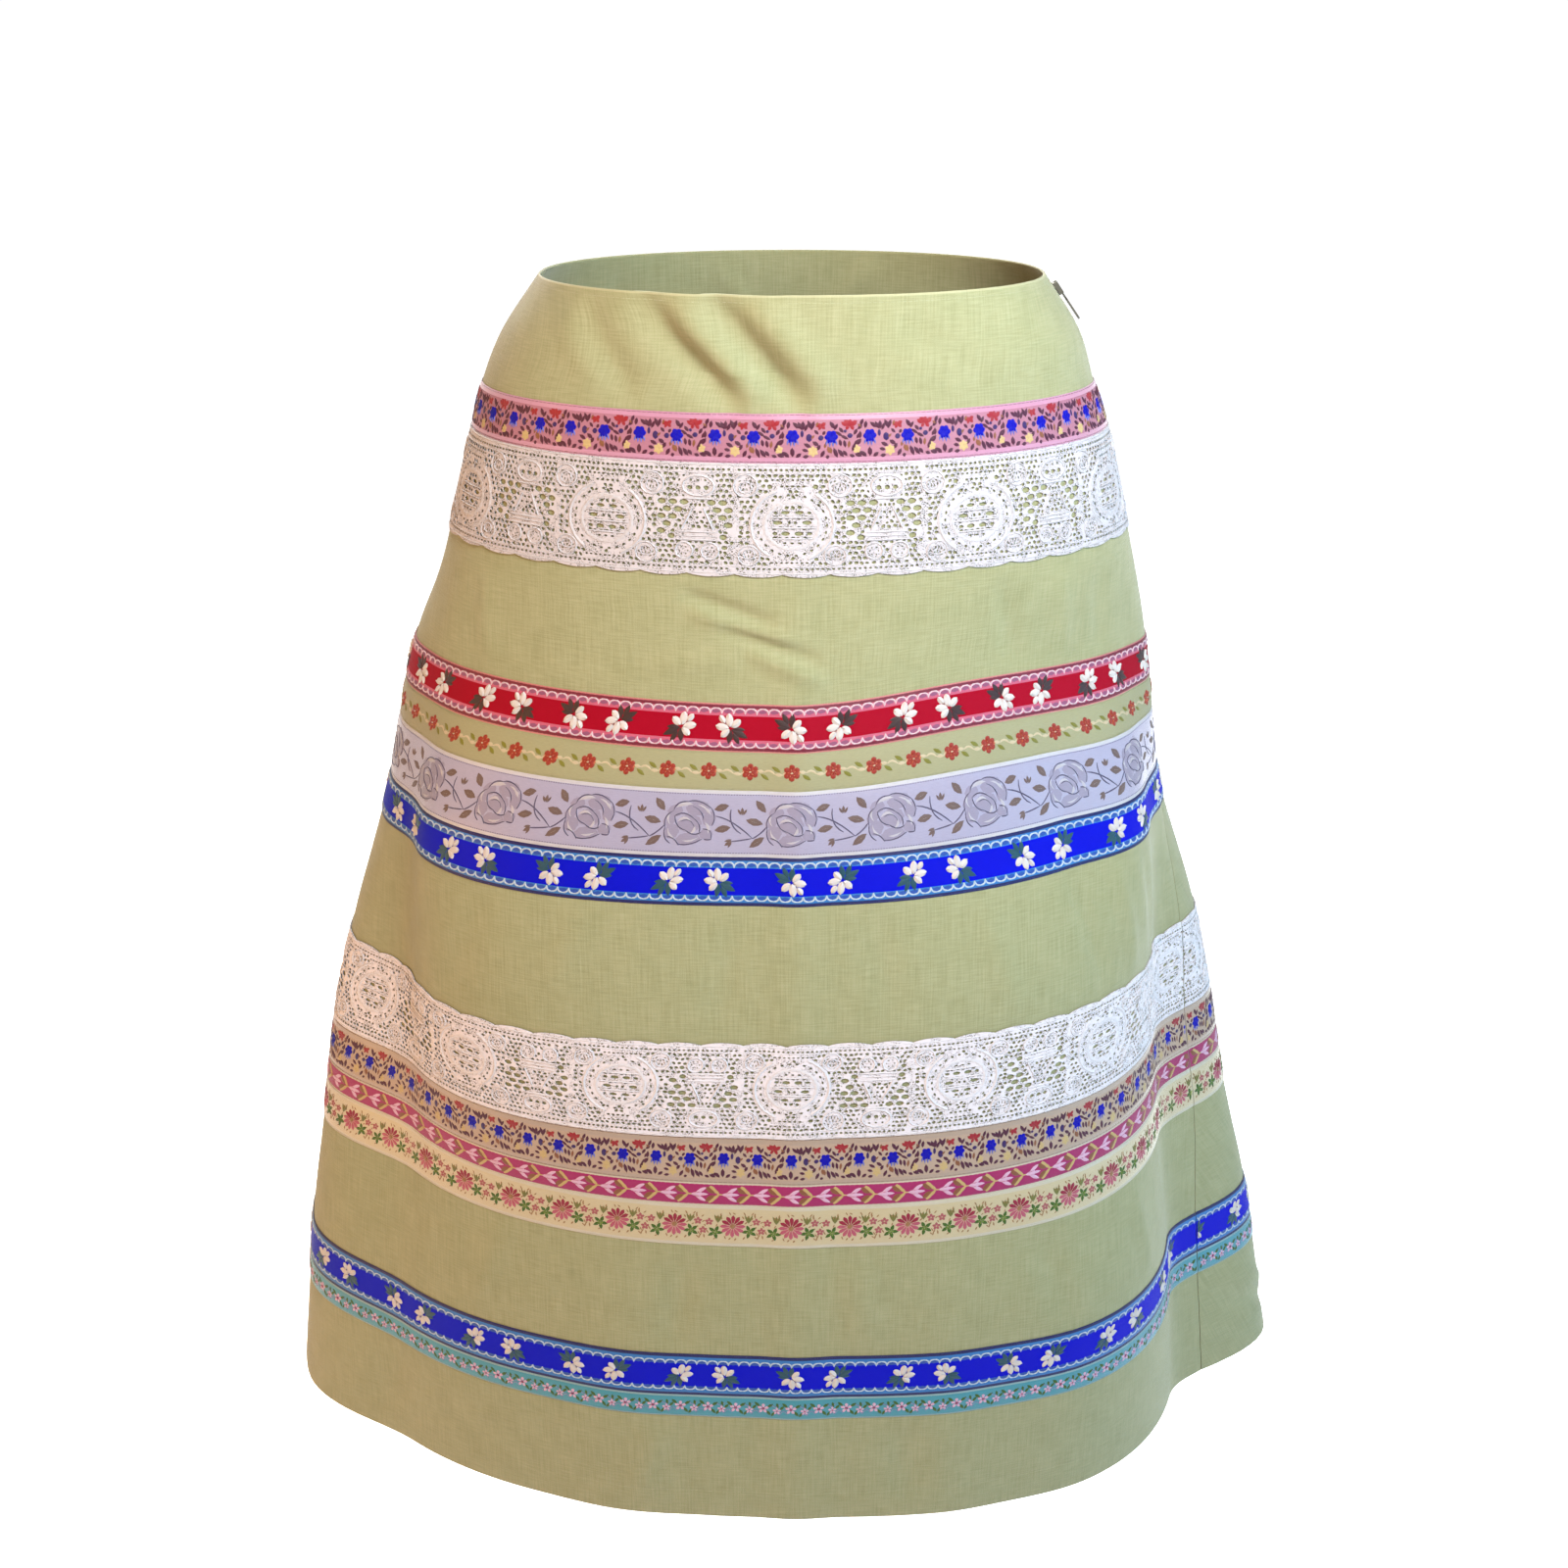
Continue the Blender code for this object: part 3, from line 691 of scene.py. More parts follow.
def wall_faces(rows: int, columns: int) -> tuple[Array, int]:
    """Faces of a closed wall whose outer grid comes first and whose inner grid follows.

    Args:
        rows: Rows of each grid.
        columns: Columns of each grid.

    Returns:
        The faces, outer ones first, then inner ones, then the rim, and the number of outer faces.
    """
    size = rows * columns
    outer = grid_faces(rows, columns)
    inner = outer[:, ::-1] + size
    top = np.arange(columns)
    last = np.arange(1, rows) * columns + columns - 1
    bottom = size - 2 - np.arange(columns - 1)
    first = np.arange(rows - 2, 0, -1) * columns
    rim = np.concatenate([top, last, bottom, first])
    onward = np.roll(rim, -1)
    edge = np.stack([rim, onward, onward + size, rim + size], -1)
    return np.concatenate([outer, inner, edge]), len(outer)


def add_wall(name: str, outer: Array, inner: Array, along: Array, down: Array, finishes: Sequence[Finish],
             tones: Array | int = 0, rim: int = 0) -> Piece:
    """Puts a thin closed wall between two grids in the scene as one piece.

    Args:
        name: The piece's name.
        outer: Points of the outer grid, rows by columns by 3.
        inner: Points of the inner grid.
        along: For each point of a grid, its place along the cloth in metres.
        down: For each point of a grid, its place down the cloth in metres.
        finishes: The piece's finishes, in slot order.
        tones: For each outer face, the number of its finish. Inner faces have the first.
        rim: Number of the rim's finish.

    Returns:
        The object.
    """
    faces, outside = wall_faces(*along.shape)
    numbers = np.zeros(len(faces), int)
    numbers[:outside] = tones
    numbers[2 * outside:] = rim
    uv = np.tile(np.stack([along, -down], -1).reshape(-1, 2), (2, 1))
    return add_piece(name, np.stack([outer, inner]), faces, finishes, numbers, uv)


def declare(cloth: Piece, node: str, slot: str, figures: Sequence[Piece],
            **sheet: object) -> None:
    """Hides the node that a cloth replaces.

    Args:
        cloth: The cloth; not used.
        node: The node that it replaces.
        slot: Material slot of the cloth and of its figures; not used.
        figures: Pieces that are sewn on the cloth; not used.
        sheet: The cloth's flat size, how it is held, and what it rests on; not used.
    """
    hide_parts(node)


LINEN = Finish("sage linen", (202, 200, 156), Cloth.LINEN, 0.76, 1.16, 0.85, 0.10, 0.35, 9000.0,
               (0.94, 1.0, 0.80))
# The same linen painted lighter for the strip below the waist rim and the panels' cut edges: a painted
# highlight.
LINEN_RIM_HIGHLIGHT = Finish("linen turned edge", (218, 216, 170), Cloth.LINEN, 0.86, 1.14, 0.85, 0.1, 0.3, 9000.0)
SEAM_THREAD = Finish("sage sewing thread", (214, 216, 178), roughness=0.6)
# The dark tone is what shows in the lace's small gaps: the linen beneath, painted darker as the shade under
# the lace.
LACE = Finish("white lace cotton", (250, 244, 251), Cloth.COTTON, 0.33, 0.99, 0.8, 0.08, 0.5, 900.0,
              (1.0, 1.0, 0.90))
LACE_CORD = Finish("white lace cord", (252, 248, 254), roughness=0.7, dark=0.80, light=1.06)
# The lower band's lace and cord: the same lace painted lighter to make up for the weaker lamp light down the
# skirt, painted light.
BRIGHTENED_LOW_LACE = replace(LACE, name="whiter lace cotton", dark=0.45, light=1.34)
BRIGHTENED_LOW_CORD = replace(LACE_CORD, name="whiter lace cord", dark=1.02, light=1.38)

PINK_SATIN = Finish("pink satin edge", (242, 174, 208), roughness=0.35, sheen=0.3)
SALMON = Finish("salmon ground", (216, 144, 170))
# Stitches of the pink and the beige ribbons, darker than their edges: the real stitch line with the shadow
# along each ribbon edge painted into it.
MAUVE_STITCH_AND_SHADOW = Finish("mauve sewing thread", (150, 96, 112))
TAN_STITCH_AND_SHADOW = Finish("tan sewing thread", (150, 116, 96))
MAROON = Finish("maroon thread", (92, 14, 60), sheen=0.0)
CRIMSON = Finish("crimson thread", (190, 24, 46))
ROYAL_THREAD = Finish("royal blue thread", (10, 4, 214), sheen=0.0, gloss=0.08)
INDIGO = Finish("indigo bud thread", (58, 14, 112))
SKY_THREAD = Finish("light blue thread", (120, 130, 240))
CREAM_THREAD = Finish("cream thread", (246, 214, 148))

RED_LINE = Finish("coral line", (245, 150, 150))
RED_EDGE = Finish("dark red edge", (142, 22, 60))
RED_ZONE = Finish("pink zone", (244, 112, 148))
RED_FIELD = Finish("crimson field", (198, 0, 44), sheen=0.0, dark=0.85, gloss=0.04)
DUSKY = Finish("dusky pink squares", (176, 96, 140))
RED_SCALLOP = Finish("pale pink scallops", (255, 222, 232), dark=0.85, light=1.2)
PETAL = Finish("white petal thread", (252, 244, 240), roughness=0.6, dark=0.85, light=1.26)
# Short darker strokes at the base of each white petal: painted shade where the petals meet.
PETAL_BASE_SHADE = Finish("petal shade thread", (178, 160, 150))
LEAF_NERVE = Finish("leaf nerve thread", (128, 112, 84))
UMBER = Finish("umber leaf thread", (66, 34, 36))

SAGE = Finish("sage braid ground", (200, 196, 150))
RUST = Finish("rust thread", (188, 52, 28))
ORANGE = Finish("orange thread", (240, 128, 78))
BRAID_CREAM = Finish("braid cream thread", (246, 226, 186))
OLIVE_GREEN = Finish("olive green thread", (150, 146, 40))

LILAC = Finish("lilac jacquard ground", (208, 202, 234), roughness=0.38, sheen=0.3)
ROSE_EDGE = Finish("silver white edge", (248, 246, 254), roughness=0.4)
MAUVE = Finish("mauve satin", (188, 178, 206), roughness=0.38)
SLATE = Finish("slate thread", (98, 90, 126))
TAUPE = Finish("taupe thread", (134, 108, 102))
# Pale silver thread for the leaf veins, and for the light strokes across the rose that stand for the satin's
# sheen: painted highlights.
PALE_VEIN_AND_SHEEN = Finish("silver satin thread", (232, 226, 236), roughness=0.35)

BLUE_FIELD = Finish("royal field", (2, 14, 236), sheen=0.0, dark=0.9, light=1.3, gloss=0.04)
NAVY = Finish("navy edge", (2, 16, 112))
BLUE_ZONE = Finish("light blue zone", (44, 144, 234))
BLUE_SQUARE = Finish("deeper blue squares", (20, 92, 206))
BLUE_SCALLOP = Finish("pale blue scallops", (222, 238, 255), dark=0.85, light=1.25)
TEAL = Finish("teal leaf thread", (20, 90, 110))

BEIGE_EDGE = Finish("beige satin edge", (216, 190, 170), roughness=0.38, sheen=0.3)
BEIGE = Finish("beige ground", (230, 200, 176))

MAGENTA_EDGE = Finish("magenta edge", (206, 60, 122))
MAGENTA = Finish("magenta field", (200, 16, 118))
TULIP = Finish("tulip pink thread", (255, 206, 238), dark=0.85, light=1.3)
GOLD_THREAD = Finish("gold thread", (240, 206, 132))
BROWN = Finish("brown thread", (165, 100, 62))

GOLD_EDGE = Finish("cream gold edge", (250, 241, 216), roughness=0.38)
GOLD = Finish("cream gold ground", (246, 228, 182), roughness=0.4, sheen=0.3)
DAISY = Finish("crimson daisy thread", (180, 16, 66), sheen=0.0)
DAISY_PALE = Finish("pink daisy thread", (224, 104, 132))
TAN = Finish("tan thread", (190, 140, 90))
GREEN = Finish("bright green thread", (70, 116, 12), sheen=0.0)
LIME = Finish("lime thread", (164, 190, 48))
OLIVE = Finish("olive thread", (140, 140, 62))
CLUSTER = Finish("pink cluster thread", (206, 104, 112))

TURQUOISE = Finish("turquoise brocade", (74, 182, 204), roughness=0.38)
TURQUOISE_EDGE = Finish("pale turquoise edge", (170, 208, 214), roughness=0.4)
TURQUOISE_SHEEN = Finish("lilac brocade figure", (146, 150, 204), roughness=0.35)

ZIP_TAPE = Finish("zip tape weave", (150, 152, 108), Cloth.LINEN, 0.84, 1.1, 0.8, 0.1, 0.3, 7000.0)
ZIP_COIL = Finish("zip coil", (170, 172, 128), roughness=0.35)
ZIP_METAL = Finish("dull zip metal", (190, 186, 170), Cloth.METAL, 0.75, 1.1, 0.34, 0.0, 0.08)


class Shape(Enum):
    """How a stroke's half width changes from its start to its end."""

    LENS = "pointed both ends"
    DROP = "widest towards its end"
    ROUND = "oval"
    LINE = "even, with round ends"

    def widths(self, t: Array) -> Array:
        """Share of the full half width along a stroke, never quite nothing.

        Args:
            t: Shares of the stroke's length.

        Returns:
            The share of the half width at each.
        """
        if self is Shape.LENS:
            share = np.sin(np.pi * t) ** 0.85
        elif self is Shape.DROP:
            share = t**1.05 * np.sqrt(1.0 - t) / 0.45
        elif self is Shape.ROUND:
            share = np.sqrt(np.maximum(0.0, 1.0 - (2.0 * t - 1.0) ** 2))
        else:
            share = np.where((t <= 0) | (t >= 1), 0.6, 1.0)
        return np.maximum(share, 0.12)


def table(*columns: Array | float) -> Array:
    """Columns put side by side as rows, one number standing for a whole column of it."""
    return np.stack(np.broadcast_arrays(*columns), -1)


def straight(rows: Sequence[Sequence[float]]) -> Array:
    """Rows of start, end and width as rows of start, control, end and width."""
    start, end, width = np.split(np.asarray(rows, dtype=float).reshape(-1, 5), (2, 4), axis=1)
    return np.hstack([start, (start + end) / 2, end, width])


def bent(rows: Sequence[Sequence[float]]) -> Array:
    """Rows of start, control, end and width as an array."""
    return np.asarray(rows, dtype=float).reshape(-1, 7)


def spots(rows: Sequence[Sequence[float]]) -> Array:
    """Straight strokes from their middles."""
    x, y, length, width, turn = np.asarray(rows, dtype=float).reshape(-1, 5).T
    dx, dy = np.cos(np.radians(turn)) * length / 2, np.sin(np.radians(turn)) * length / 2
    return straight(table(x - dx, y - dy, x + dx, y + dy, width))


def rays(x: float, y: float, count: int, inner: float, outer: float, width: float,
         start: float = 90.0) -> Array:
    """Strokes from an inner to an outer radius, evenly round a centre."""
    around = np.radians(start + np.arange(count) * 360.0 / count)
    cos, sin = np.cos(around), np.sin(around)
    return straight(table(x + inner * cos, y + inner * sin, x + outer * cos, y + outer * sin, width))


def evenly(period: float, pitch: float) -> tuple[Array, float]:
    """Starts of equal steps that fill a period, as near to the pitch as goes, and a step's length."""
    count = max(1, round(period / pitch))
    return np.arange(count) * period / count, period / count


def chain(period: float, pitch: float, foot: float, peak: float, width: float) -> Array:
    """Arcs side by side along the whole period, from foot level up to a control level."""
    x, step = evenly(period, pitch)
    return table(x, foot, x + step / 2, peak, x + step, foot, width)


def arches(period: float, pitch: float, foot: float, peak: float, width: float) -> Array:
    """Round arches side by side along the whole period, each of two quarter ovals.

    Args:
        period: Length of the repeat.
        pitch: Length of an arch.
        foot: Level of the arches' feet.
        peak: Level of their tops.
        width: Width of the stroke.

    Returns:
        Rows of strokes, the rising quarters first.
    """
    x, step = evenly(period, pitch)
    mid, far = x + step / 2, x + step
    rising = table(x, foot, x, peak, mid, peak, width)
    return np.vstack([rising, table(mid, peak, far, peak, far, foot, width)])


def squares(period: float, pitch: float, y: float, length: float, height: float) -> Array:
    """Small blocks as short strokes, one to each pitch."""
    x, step = evenly(period, pitch)
    return straight(table(x + (step - length) / 2, y, x + (step + length) / 2, y, height))


def scattered(seed: int, count: int, period: float, half_height: float, length: float, width: float,
              clear: Sequence[tuple[float, float, float]] = ()) -> Array:
    """Leaf strokes strewn unevenly over a repeat, none of them over the flowers.

    Args:
        seed: Seed of the random draws.
        count: Strokes tried.
        period: Length of the repeat.
        half_height: Greatest distance of a stroke's middle from the band's middle.
        length: Mean length of a stroke.
        width: Mean width of a stroke.
        clear: Places to keep clear, each with its radius.

    Returns:
        Rows of strokes.
    """
    draw = np.random.default_rng(seed)
    kept: list[tuple[float, ...]] = []
    for _ in range(count):
        x, y = draw.uniform(0.0, period), draw.uniform(-half_height, half_height)
        turn = 90.0 * np.sign(y) + draw.uniform(-62.0, 62.0)
        size = length * draw.uniform(0.75, 1.25)
        near = [np.hypot(x - k[0], y - k[1]) for k in kept]
        if near and min(near) < 0.52 * length:
            continue
        if any(np.hypot((x - cx + period / 2) % period - period / 2, y - cy) < reach
               for cx, cy, reach in clear):
            continue
        kept.append((x, y, size, width * draw.uniform(0.8, 1.2), turn))
    return spots(kept)


def grown(rows: Array, along: float, across: float) -> Array:
    """The rows drawn out, each about its own middle."""
    middle = np.tile((rows[:, 0:2] + rows[:, 4:6]) / 2, 3)
    return np.hstack([middle + (rows[:, :6] - middle) * along, rows[:, 6:] * across])


def turned(rows: Array, x: float, y: float, flip_x: bool = False, flip_y: bool = False) -> Array:
    """The rows mirrored about their origin as asked, then moved to a place.

    Args:
        rows: Rows of strokes.
        x: Where their origin goes along the band.
        y: Where it goes in height.
        flip_x: Whether they are mirrored along the band.
        flip_y: Whether they are mirrored in height.

    Returns:
        The new rows.
    """
    moved = rows.copy()
    moved[:, 0:6:2] = x + moved[:, 0:6:2] * (-1 if flip_x else 1)
    moved[:, 1:6:2] = y + moved[:, 1:6:2] * (-1 if flip_y else 1)
    return moved


def both_sides(rows: Array) -> Array:
    """The rows and their mirror image about the band's middle line."""
    return np.vstack([rows, turned(rows, 0.0, 0.0, flip_y=True)])


@dataclass(frozen=True)
class Strokes:
    """Strokes of one finish and shape. Lengths are millimetres."""

    finish: Finish
    rows: Array
    shape: Shape = Shape.LENS
    lift: float = 0.30
    segments: int = 4


@dataclass(frozen=True)
class Chart:
    """What is woven or stitched in one repeat of a band, lowest layer first."""

    period: float
    layers: tuple[Strokes, ...]


def posy_chart(rise: float) -> Chart:
    """Blue flowers, dark buds, crimson sprigs and cream flowers among small leaves.

    Args:
        rise: How far the repeat is drawn out upward and downward.

    Returns:
        The chart.
    """
    bloom = np.vstack([rays(0, 1.3, 6, 0.4, 3.7, 2.9, 60), spots([(0, 1.3, 4.8, 3.8, 0)])])
    fringe = straight([(-2.1, 0, -3, -3.2, 1.2), (-0.7, -0.6, -1, -4, 1.2), (0.7, -0.6, 1, -4, 1.2),
                       (2.1, 0, 3, -3.2, 1.2)])
    buds = spots([(5.1, 2.7, 3.2, 1.5, 90), (8.9, 0.6, 3.8, 2.8, 90), (15.2, 0.5, 2.6, 2.4, 0),
                  (30.8, 1.5, 2.6, 2.2, 0), (28.2, 3.9, 1.6, 1.4, 0)])
    leaves = straight([
        (8.4, 9, 10.1, 5.4, 1.2), (11.5, 8.8, 10, 5.4, 1.2), (0.6, 8.1, 3.4, 5.8, 1.2),
        (3.2, 8.2, 4.8, 5.1, 1.1), (5.6, 8.6, 5.6, 5.2, 1.2), (8, 7.4, 6.6, 4.6, 1.1),
        (20.4, 8.6, 22.2, 5.6, 1.3), (24, 7.4, 22.4, 5, 1), (25.2, 5.6, 26.8, 3.4, 1.1),
        (37.8, 9.8, 36.5, 7.2, 1.1), (37.2, 6.6, 35.2, 5.2, 1.1), (39.6, 8.6, 39, 5.8, 1.2),
        (34.6, 4.6, 33, 2.4, 1.1), (36.4, 3.4, 36.2, 0.4, 1.1), (23.4, 3.6, 26.2, 1.6, 1),
        (26.2, 1.6, 29.4, -0.2, 1), (25.4, -0.8, 25.8, -3.6, 1.1), (27.8, -1.2, 28.2, -4.2, 1.1),
        (12, 4.4, 13.6, 2.6, 1), (17.4, 3.8, 16.2, 2.4, 1), (0, -5.2, 0, -8.8, 1.5),
        (-7.6, -8.2, -4.8, -9.4, 1.2), (-4.4, -7.2, -2.2, -9.4, 1.3), (2.2, -9.4, 4.4, -8, 1.2),
        (6, -9.4, 8.4, -9.2, 1.1), (5.6, -5.6, 8, -6.4, 1.1), (6.6, -2.6, 9.4, -4.2, 1.2),
        (11.2, -1.6, 13.6, -3.4, 1.3), (14.8, -3.6, 13.2, -5.6, 1.2), (15.4, -9.2, 17, -6.6, 1.2),
        (18, -9.6, 19.6, -9.4, 1.1), (22.4, -5.4, 23.8, -9.4, 1.3), (24.8, -6, 27, -9.2, 1.3),
        (27.4, -6.6, 29, -8.8, 1.1), (33.2, -2.8, 36.4, -0.8, 1.2), (33.6, -3.2, 32.2, -6.2, 1.2),
        (34.4, -8.6, 38, -7.4, 1.3), (31, -8.6, 33, -9.6, 1.1), (-5.4, 2.4, -7, 0.4, 1.1),
        (-5, -0.6, -6.6, -3, 1.1),
    ])
    brown = straight([(19, -4.2, 20.8, -7.6, 2.2), (30.6, -1.2, 30, -4.8, 1.3), (9.6, 0, 11.8, 1.8, 1),
                      (17.8, -2.4, 17.2, -4.8, 1.2), (-6.4, 7.6, -4.4, 5.6, 1.2),
                      (13.6, 8.8, 12.6, 6.4, 1.1)])
    sprigs = straight([(26.4, 8.6, 29.4, 6.8, 1.6), (28, 9.6, 30.6, 7.2, 1.8), (31, 9.8, 30.8, 6.4, 2),
                       (34.4, 9, 31.6, 7, 1.7), (32.6, 4.6, 31.4, 7, 1.4), (28.6, 4.8, 30.2, 6.8, 1.3),
                       (12.8, 6.6, 15.4, 7.6, 1.4), (17.6, 8.2, 15.4, 6.8, 1.5), (17.2, 5.2, 15.6, 7, 1.3),
                       (14, 4.8, 15.2, 7, 1.2)])
    cream = np.vstack([rays(11, -6.6, 6, 0.2, 2.9, 1.9), rays(34.4, -5.6, 5, 0.2, 2.3, 1.8)])

    def twice(rows: Array) -> Array:
        """The rows and a copy of them half a repeat on."""
        return np.vstack([rows, turned(rows, 20.8, -0.4)])

    layers = (
        Strokes(CREAM_THREAD, grown(cream, 1.1, 1.2), lift=0.22, segments=3),
        Strokes(MAROON, grown(leaves, 1.35, 1.7), Shape.ROUND, 0.26, 3),
        Strokes(BROWN, grown(brown, 1.1, 1.3), Shape.ROUND, 0.26, 3),
        Strokes(CRIMSON, grown(sprigs, 1.2, 1.45), Shape.ROUND, 0.30, 3),
        Strokes(INDIGO, grown(buds, 1.15, 1.15), Shape.ROUND, 0.36, 5),
        Strokes(ROYAL_THREAD, twice(bloom), Shape.ROUND, 0.42, 6),
        Strokes(SKY_THREAD, twice(fringe), lift=0.50, segments=2),
    )
    for layer in layers:
        layer.rows[:, 1:6:2] *= rise
    return Chart(41.6, layers)


def flower_chart(period: float, places: Sequence[float], leaf: Finish, square: Finish, scallop: Finish,
                 pitch: float, border: float) -> Chart:
    """White five-petalled flowers with dark leaves, between borders of squares under scallops.

    Args:
        period: Length of the repeat.
        places: Where the four flowers stand, each turned its own way.
        leaf: Finish of the leaves and veins.
        square: Finish of the squares.
        scallop: Finish of the scallops.
        pitch: Length of one scallop.
        border: Height of the scallops' feet above the band's middle.

    Returns:
        The chart.
    """
    petals = straight([(0.5, 0.4, 5, 4.8, 3.5), (0.9, -0.2, 8.4, -1.4, 3.8), (3.2, -3.2, 6.4, -7.4, 3),
                       (0.2, -1, 1.3, -8.6, 3.9), (-0.8, -0.8, -5.6, -5.2, 3.7)])
    # Short strokes at the base of the petals, darker than them: painted shade where the petals meet.
    shades = straight([(0.6, 0.2, 2.4, 2.4, 0.8), (1, -0.4, 4, -0.9, 0.8), (0.2, -1, 0.7, -4.2, 0.8),
                       (-0.6, -0.8, -2.6, -2.7, 0.8), (2.6, -2, 4.2, -4.6, 0.7)])
    leaves = straight([(-0.6, 0.8, 0.6, 8.6, 3.5), (-0.8, 0.4, -10, 5.2, 3.7), (-1.6, 0.2, -8.4, 0.6, 2.6),
                       (-2, 2.4, -5.4, 8.8, 3)])
    nerves = straight([(-0.3, 3, 0.3, 7.2, 0.5), (-3.4, 1.8, -8.4, 4.4, 0.5), (-3, 4, -4.8, 7.6, 0.5)])
    ways = ((False, False), (True, False), (False, True), (True, True))
    levels = (0.4, 0.4, -0.4, -0.4)

    def spread(rows: Array) -> Array:
        """The rows at each of the four places, turned its way."""
        return np.vstack([turned(rows, x, y, *way) for x, y, way in zip(places, levels, ways)])

    return Chart(period, (
        Strokes(square, both_sides(squares(period, pitch, border + 1.5, 4.4, 2.8)), Shape.LINE, 0.12, 2),
        Strokes(scallop, both_sides(arches(period, pitch, border, border + 3.2, 1)), Shape.LINE, 0.32, 4),
        Strokes(leaf, spread(leaves), Shape.LENS, 0.40, 5),
        Strokes(LEAF_NERVE, spread(nerves), lift=0.52, segments=2),
        Strokes(PETAL, spread(petals), Shape.ROUND, 0.95, 6),
        Strokes(PETAL_BASE_SHADE, spread(shades), lift=0.80, segments=2),
    ))


def braid_chart() -> Chart:
    """Small six-petalled rosettes in rust, joined by leaves and a cream chain."""
    return Chart(23.8, (
        Strokes(BRAID_CREAM, straight([(4, 1, 8, 0, 2), (14, -1, 19, -1.5, 2)]), Shape.LENS, 0.25),
        Strokes(BRAID_CREAM, bent([(8, 0, 11, 2.4, 14, -1, 1.2), (18.6, -1.4, 20, 0.6, 21.4, 0, 1.2)]),
                Shape.LINE, 0.25),
        Strokes(OLIVE_GREEN, straight([(6, -1, 10.8, -4.4, 2.3), (12.4, 3.4, 17.4, 0.2, 2.3)])),
        Strokes(ORANGE, spots([(0, 0, 9.2, 7.6, 0)]), Shape.ROUND, 0.16, 8),
        Strokes(RUST, spots([(0, 0, 7.4, 6, 0)]), Shape.ROUND, 0.50, 8),
        Strokes(RUST, rays(0, 0, 6, 2.2, 4.9, 2.9, 30), Shape.ROUND, 0.55, 5),
        Strokes(ORANGE, rays(0, 0, 5, 0.8, 2.8, 0.8, 30), lift=0.85, segments=2),
        Strokes(BRAID_CREAM, spots([(0, 0, 1.8, 1.5, 0)]), Shape.ROUND, 0.95, 4),
    ))


def rose_chart() -> Chart:
    """A large full-blown rose in outline, with mauve fills, painted satin highlights, leaves, stems and buds.

    Returns:
        The chart.
    """
    period = 59.0
    fills = spots([(-9, 7, 9, 8, 0), (4, 9, 14, 10, 0), (11, 3, 8, 10, 0), (10, -6, 8, 7, 0),
                   (0, -9, 14, 8, 0),
                   (-10, -5, 9, 10, 0), (-12, 1, 7, 7, 0), (0, 0, 14, 12, 0)])
    outlines = bent([
        (-10, 7, -9, 13, -2, 12.5, 0.7), (-2, 12.5, 4, 15, 12, 9, 0.7), (12, 9, 15.5, 4, 13, -1, 0.7),
        (8, -3, 14, -3, 13, -9, 0.7), (13, -9, 11, -9.6, 9, -9, 0.7), (8, -9, 0, -14, -6, -12, 0.7),
        (-5, -13, -8, -8, -12, -8, 0.7), (-10, 7, -16, 4, -14, -3, 0.7), (-14, -3, -15, -9, -10, -12, 0.7),
        (-9, 4, -4, 8, 2, 3, 0.7), (2, 3, 7, 0, 6, -5, 0.7), (-9, 4, -8, -3, -2, -4, 0.7),
        (-2, -4, 3, -8, 7, -5, 0.7), (-5, 1, 0, 4, 3, -2, 0.7), (1, 10, 7, 8, 8, 2, 0.7),
    ])
    # Light curved strokes across the rose: painted satin highlights.
    shines = bent([(-9, 9, -4, 12, 1, 11, 2.2), (4, 11, 9, 10, 12, 5, 2.2), (9, 1, 12, -2, 11, -6, 2),
                   (-7, 1, -3, 5, 1, 1, 2), (-12, -3, -12, -7, -8, -9, 2), (-3, -10, 1, -11, 6, -8, 2),
                   (-12, 5, -14, 2, -11, -1, 1.8), (3, -1, 4, -4, 1, -6, 1.8)])
    leaves = spots([(-18.3, 10.5, 9, 4.4, 130), (-21.6, 1.4, 10, 4.4, 165), (-19.7, -10.5, 10, 4.4, 215),
                    (17.9, 9.6, 8.5, 4.4, 15), (19.3, -2.8, 9, 4.4, 10)])
    veins = leaves.copy()
    veins[:, 6] = 0.6
    stems = bent([(14.7, 4.6, 25, 3, 36.7, -8.3, 0.8), (36.7, -8.3, 41, -6, 44.5, -1.5, 0.8),
                  (23.4, 8.7, 22, -1, 30, -5.5, 0.8), (36, -8.3, 30, -9.6, 25, -10, 0.8)])
    buds = straight([(30, 5.4, 30, 9.8, 2), (29.4, 5.4, 27.4, 8.8, 1.5), (30.6, 5.4, 32.6, 8.8, 1.5),
                     (25, -9.6, 21, -12.6, 2), (25, -9, 20.8, -10, 1.5), (25, -10.2, 23, -13.8, 1.5)])
    dots = both_sides(squares(period, 1.6, 17, 0.8, 0.7))
    return Chart(period, (
        Strokes(MAUVE, fills, Shape.ROUND, 0.16, 6),
        Strokes(TAUPE, leaves, Shape.LENS, 0.28),
        Strokes(PALE_VEIN_AND_SHEEN, shines, Shape.LENS, 0.26, 5),
        Strokes(SLATE, stems, Shape.LINE, 0.24, 6),
        Strokes(SLATE, outlines, Shape.LINE, 0.34, 6),
        Strokes(PALE_VEIN_AND_SHEEN, veins, Shape.LENS, 0.38, 3),
        Strokes(TAUPE, buds, Shape.LENS, 0.28, 3),
        Strokes(SLATE, dots, Shape.LINE, 0.16, 1),
    ))


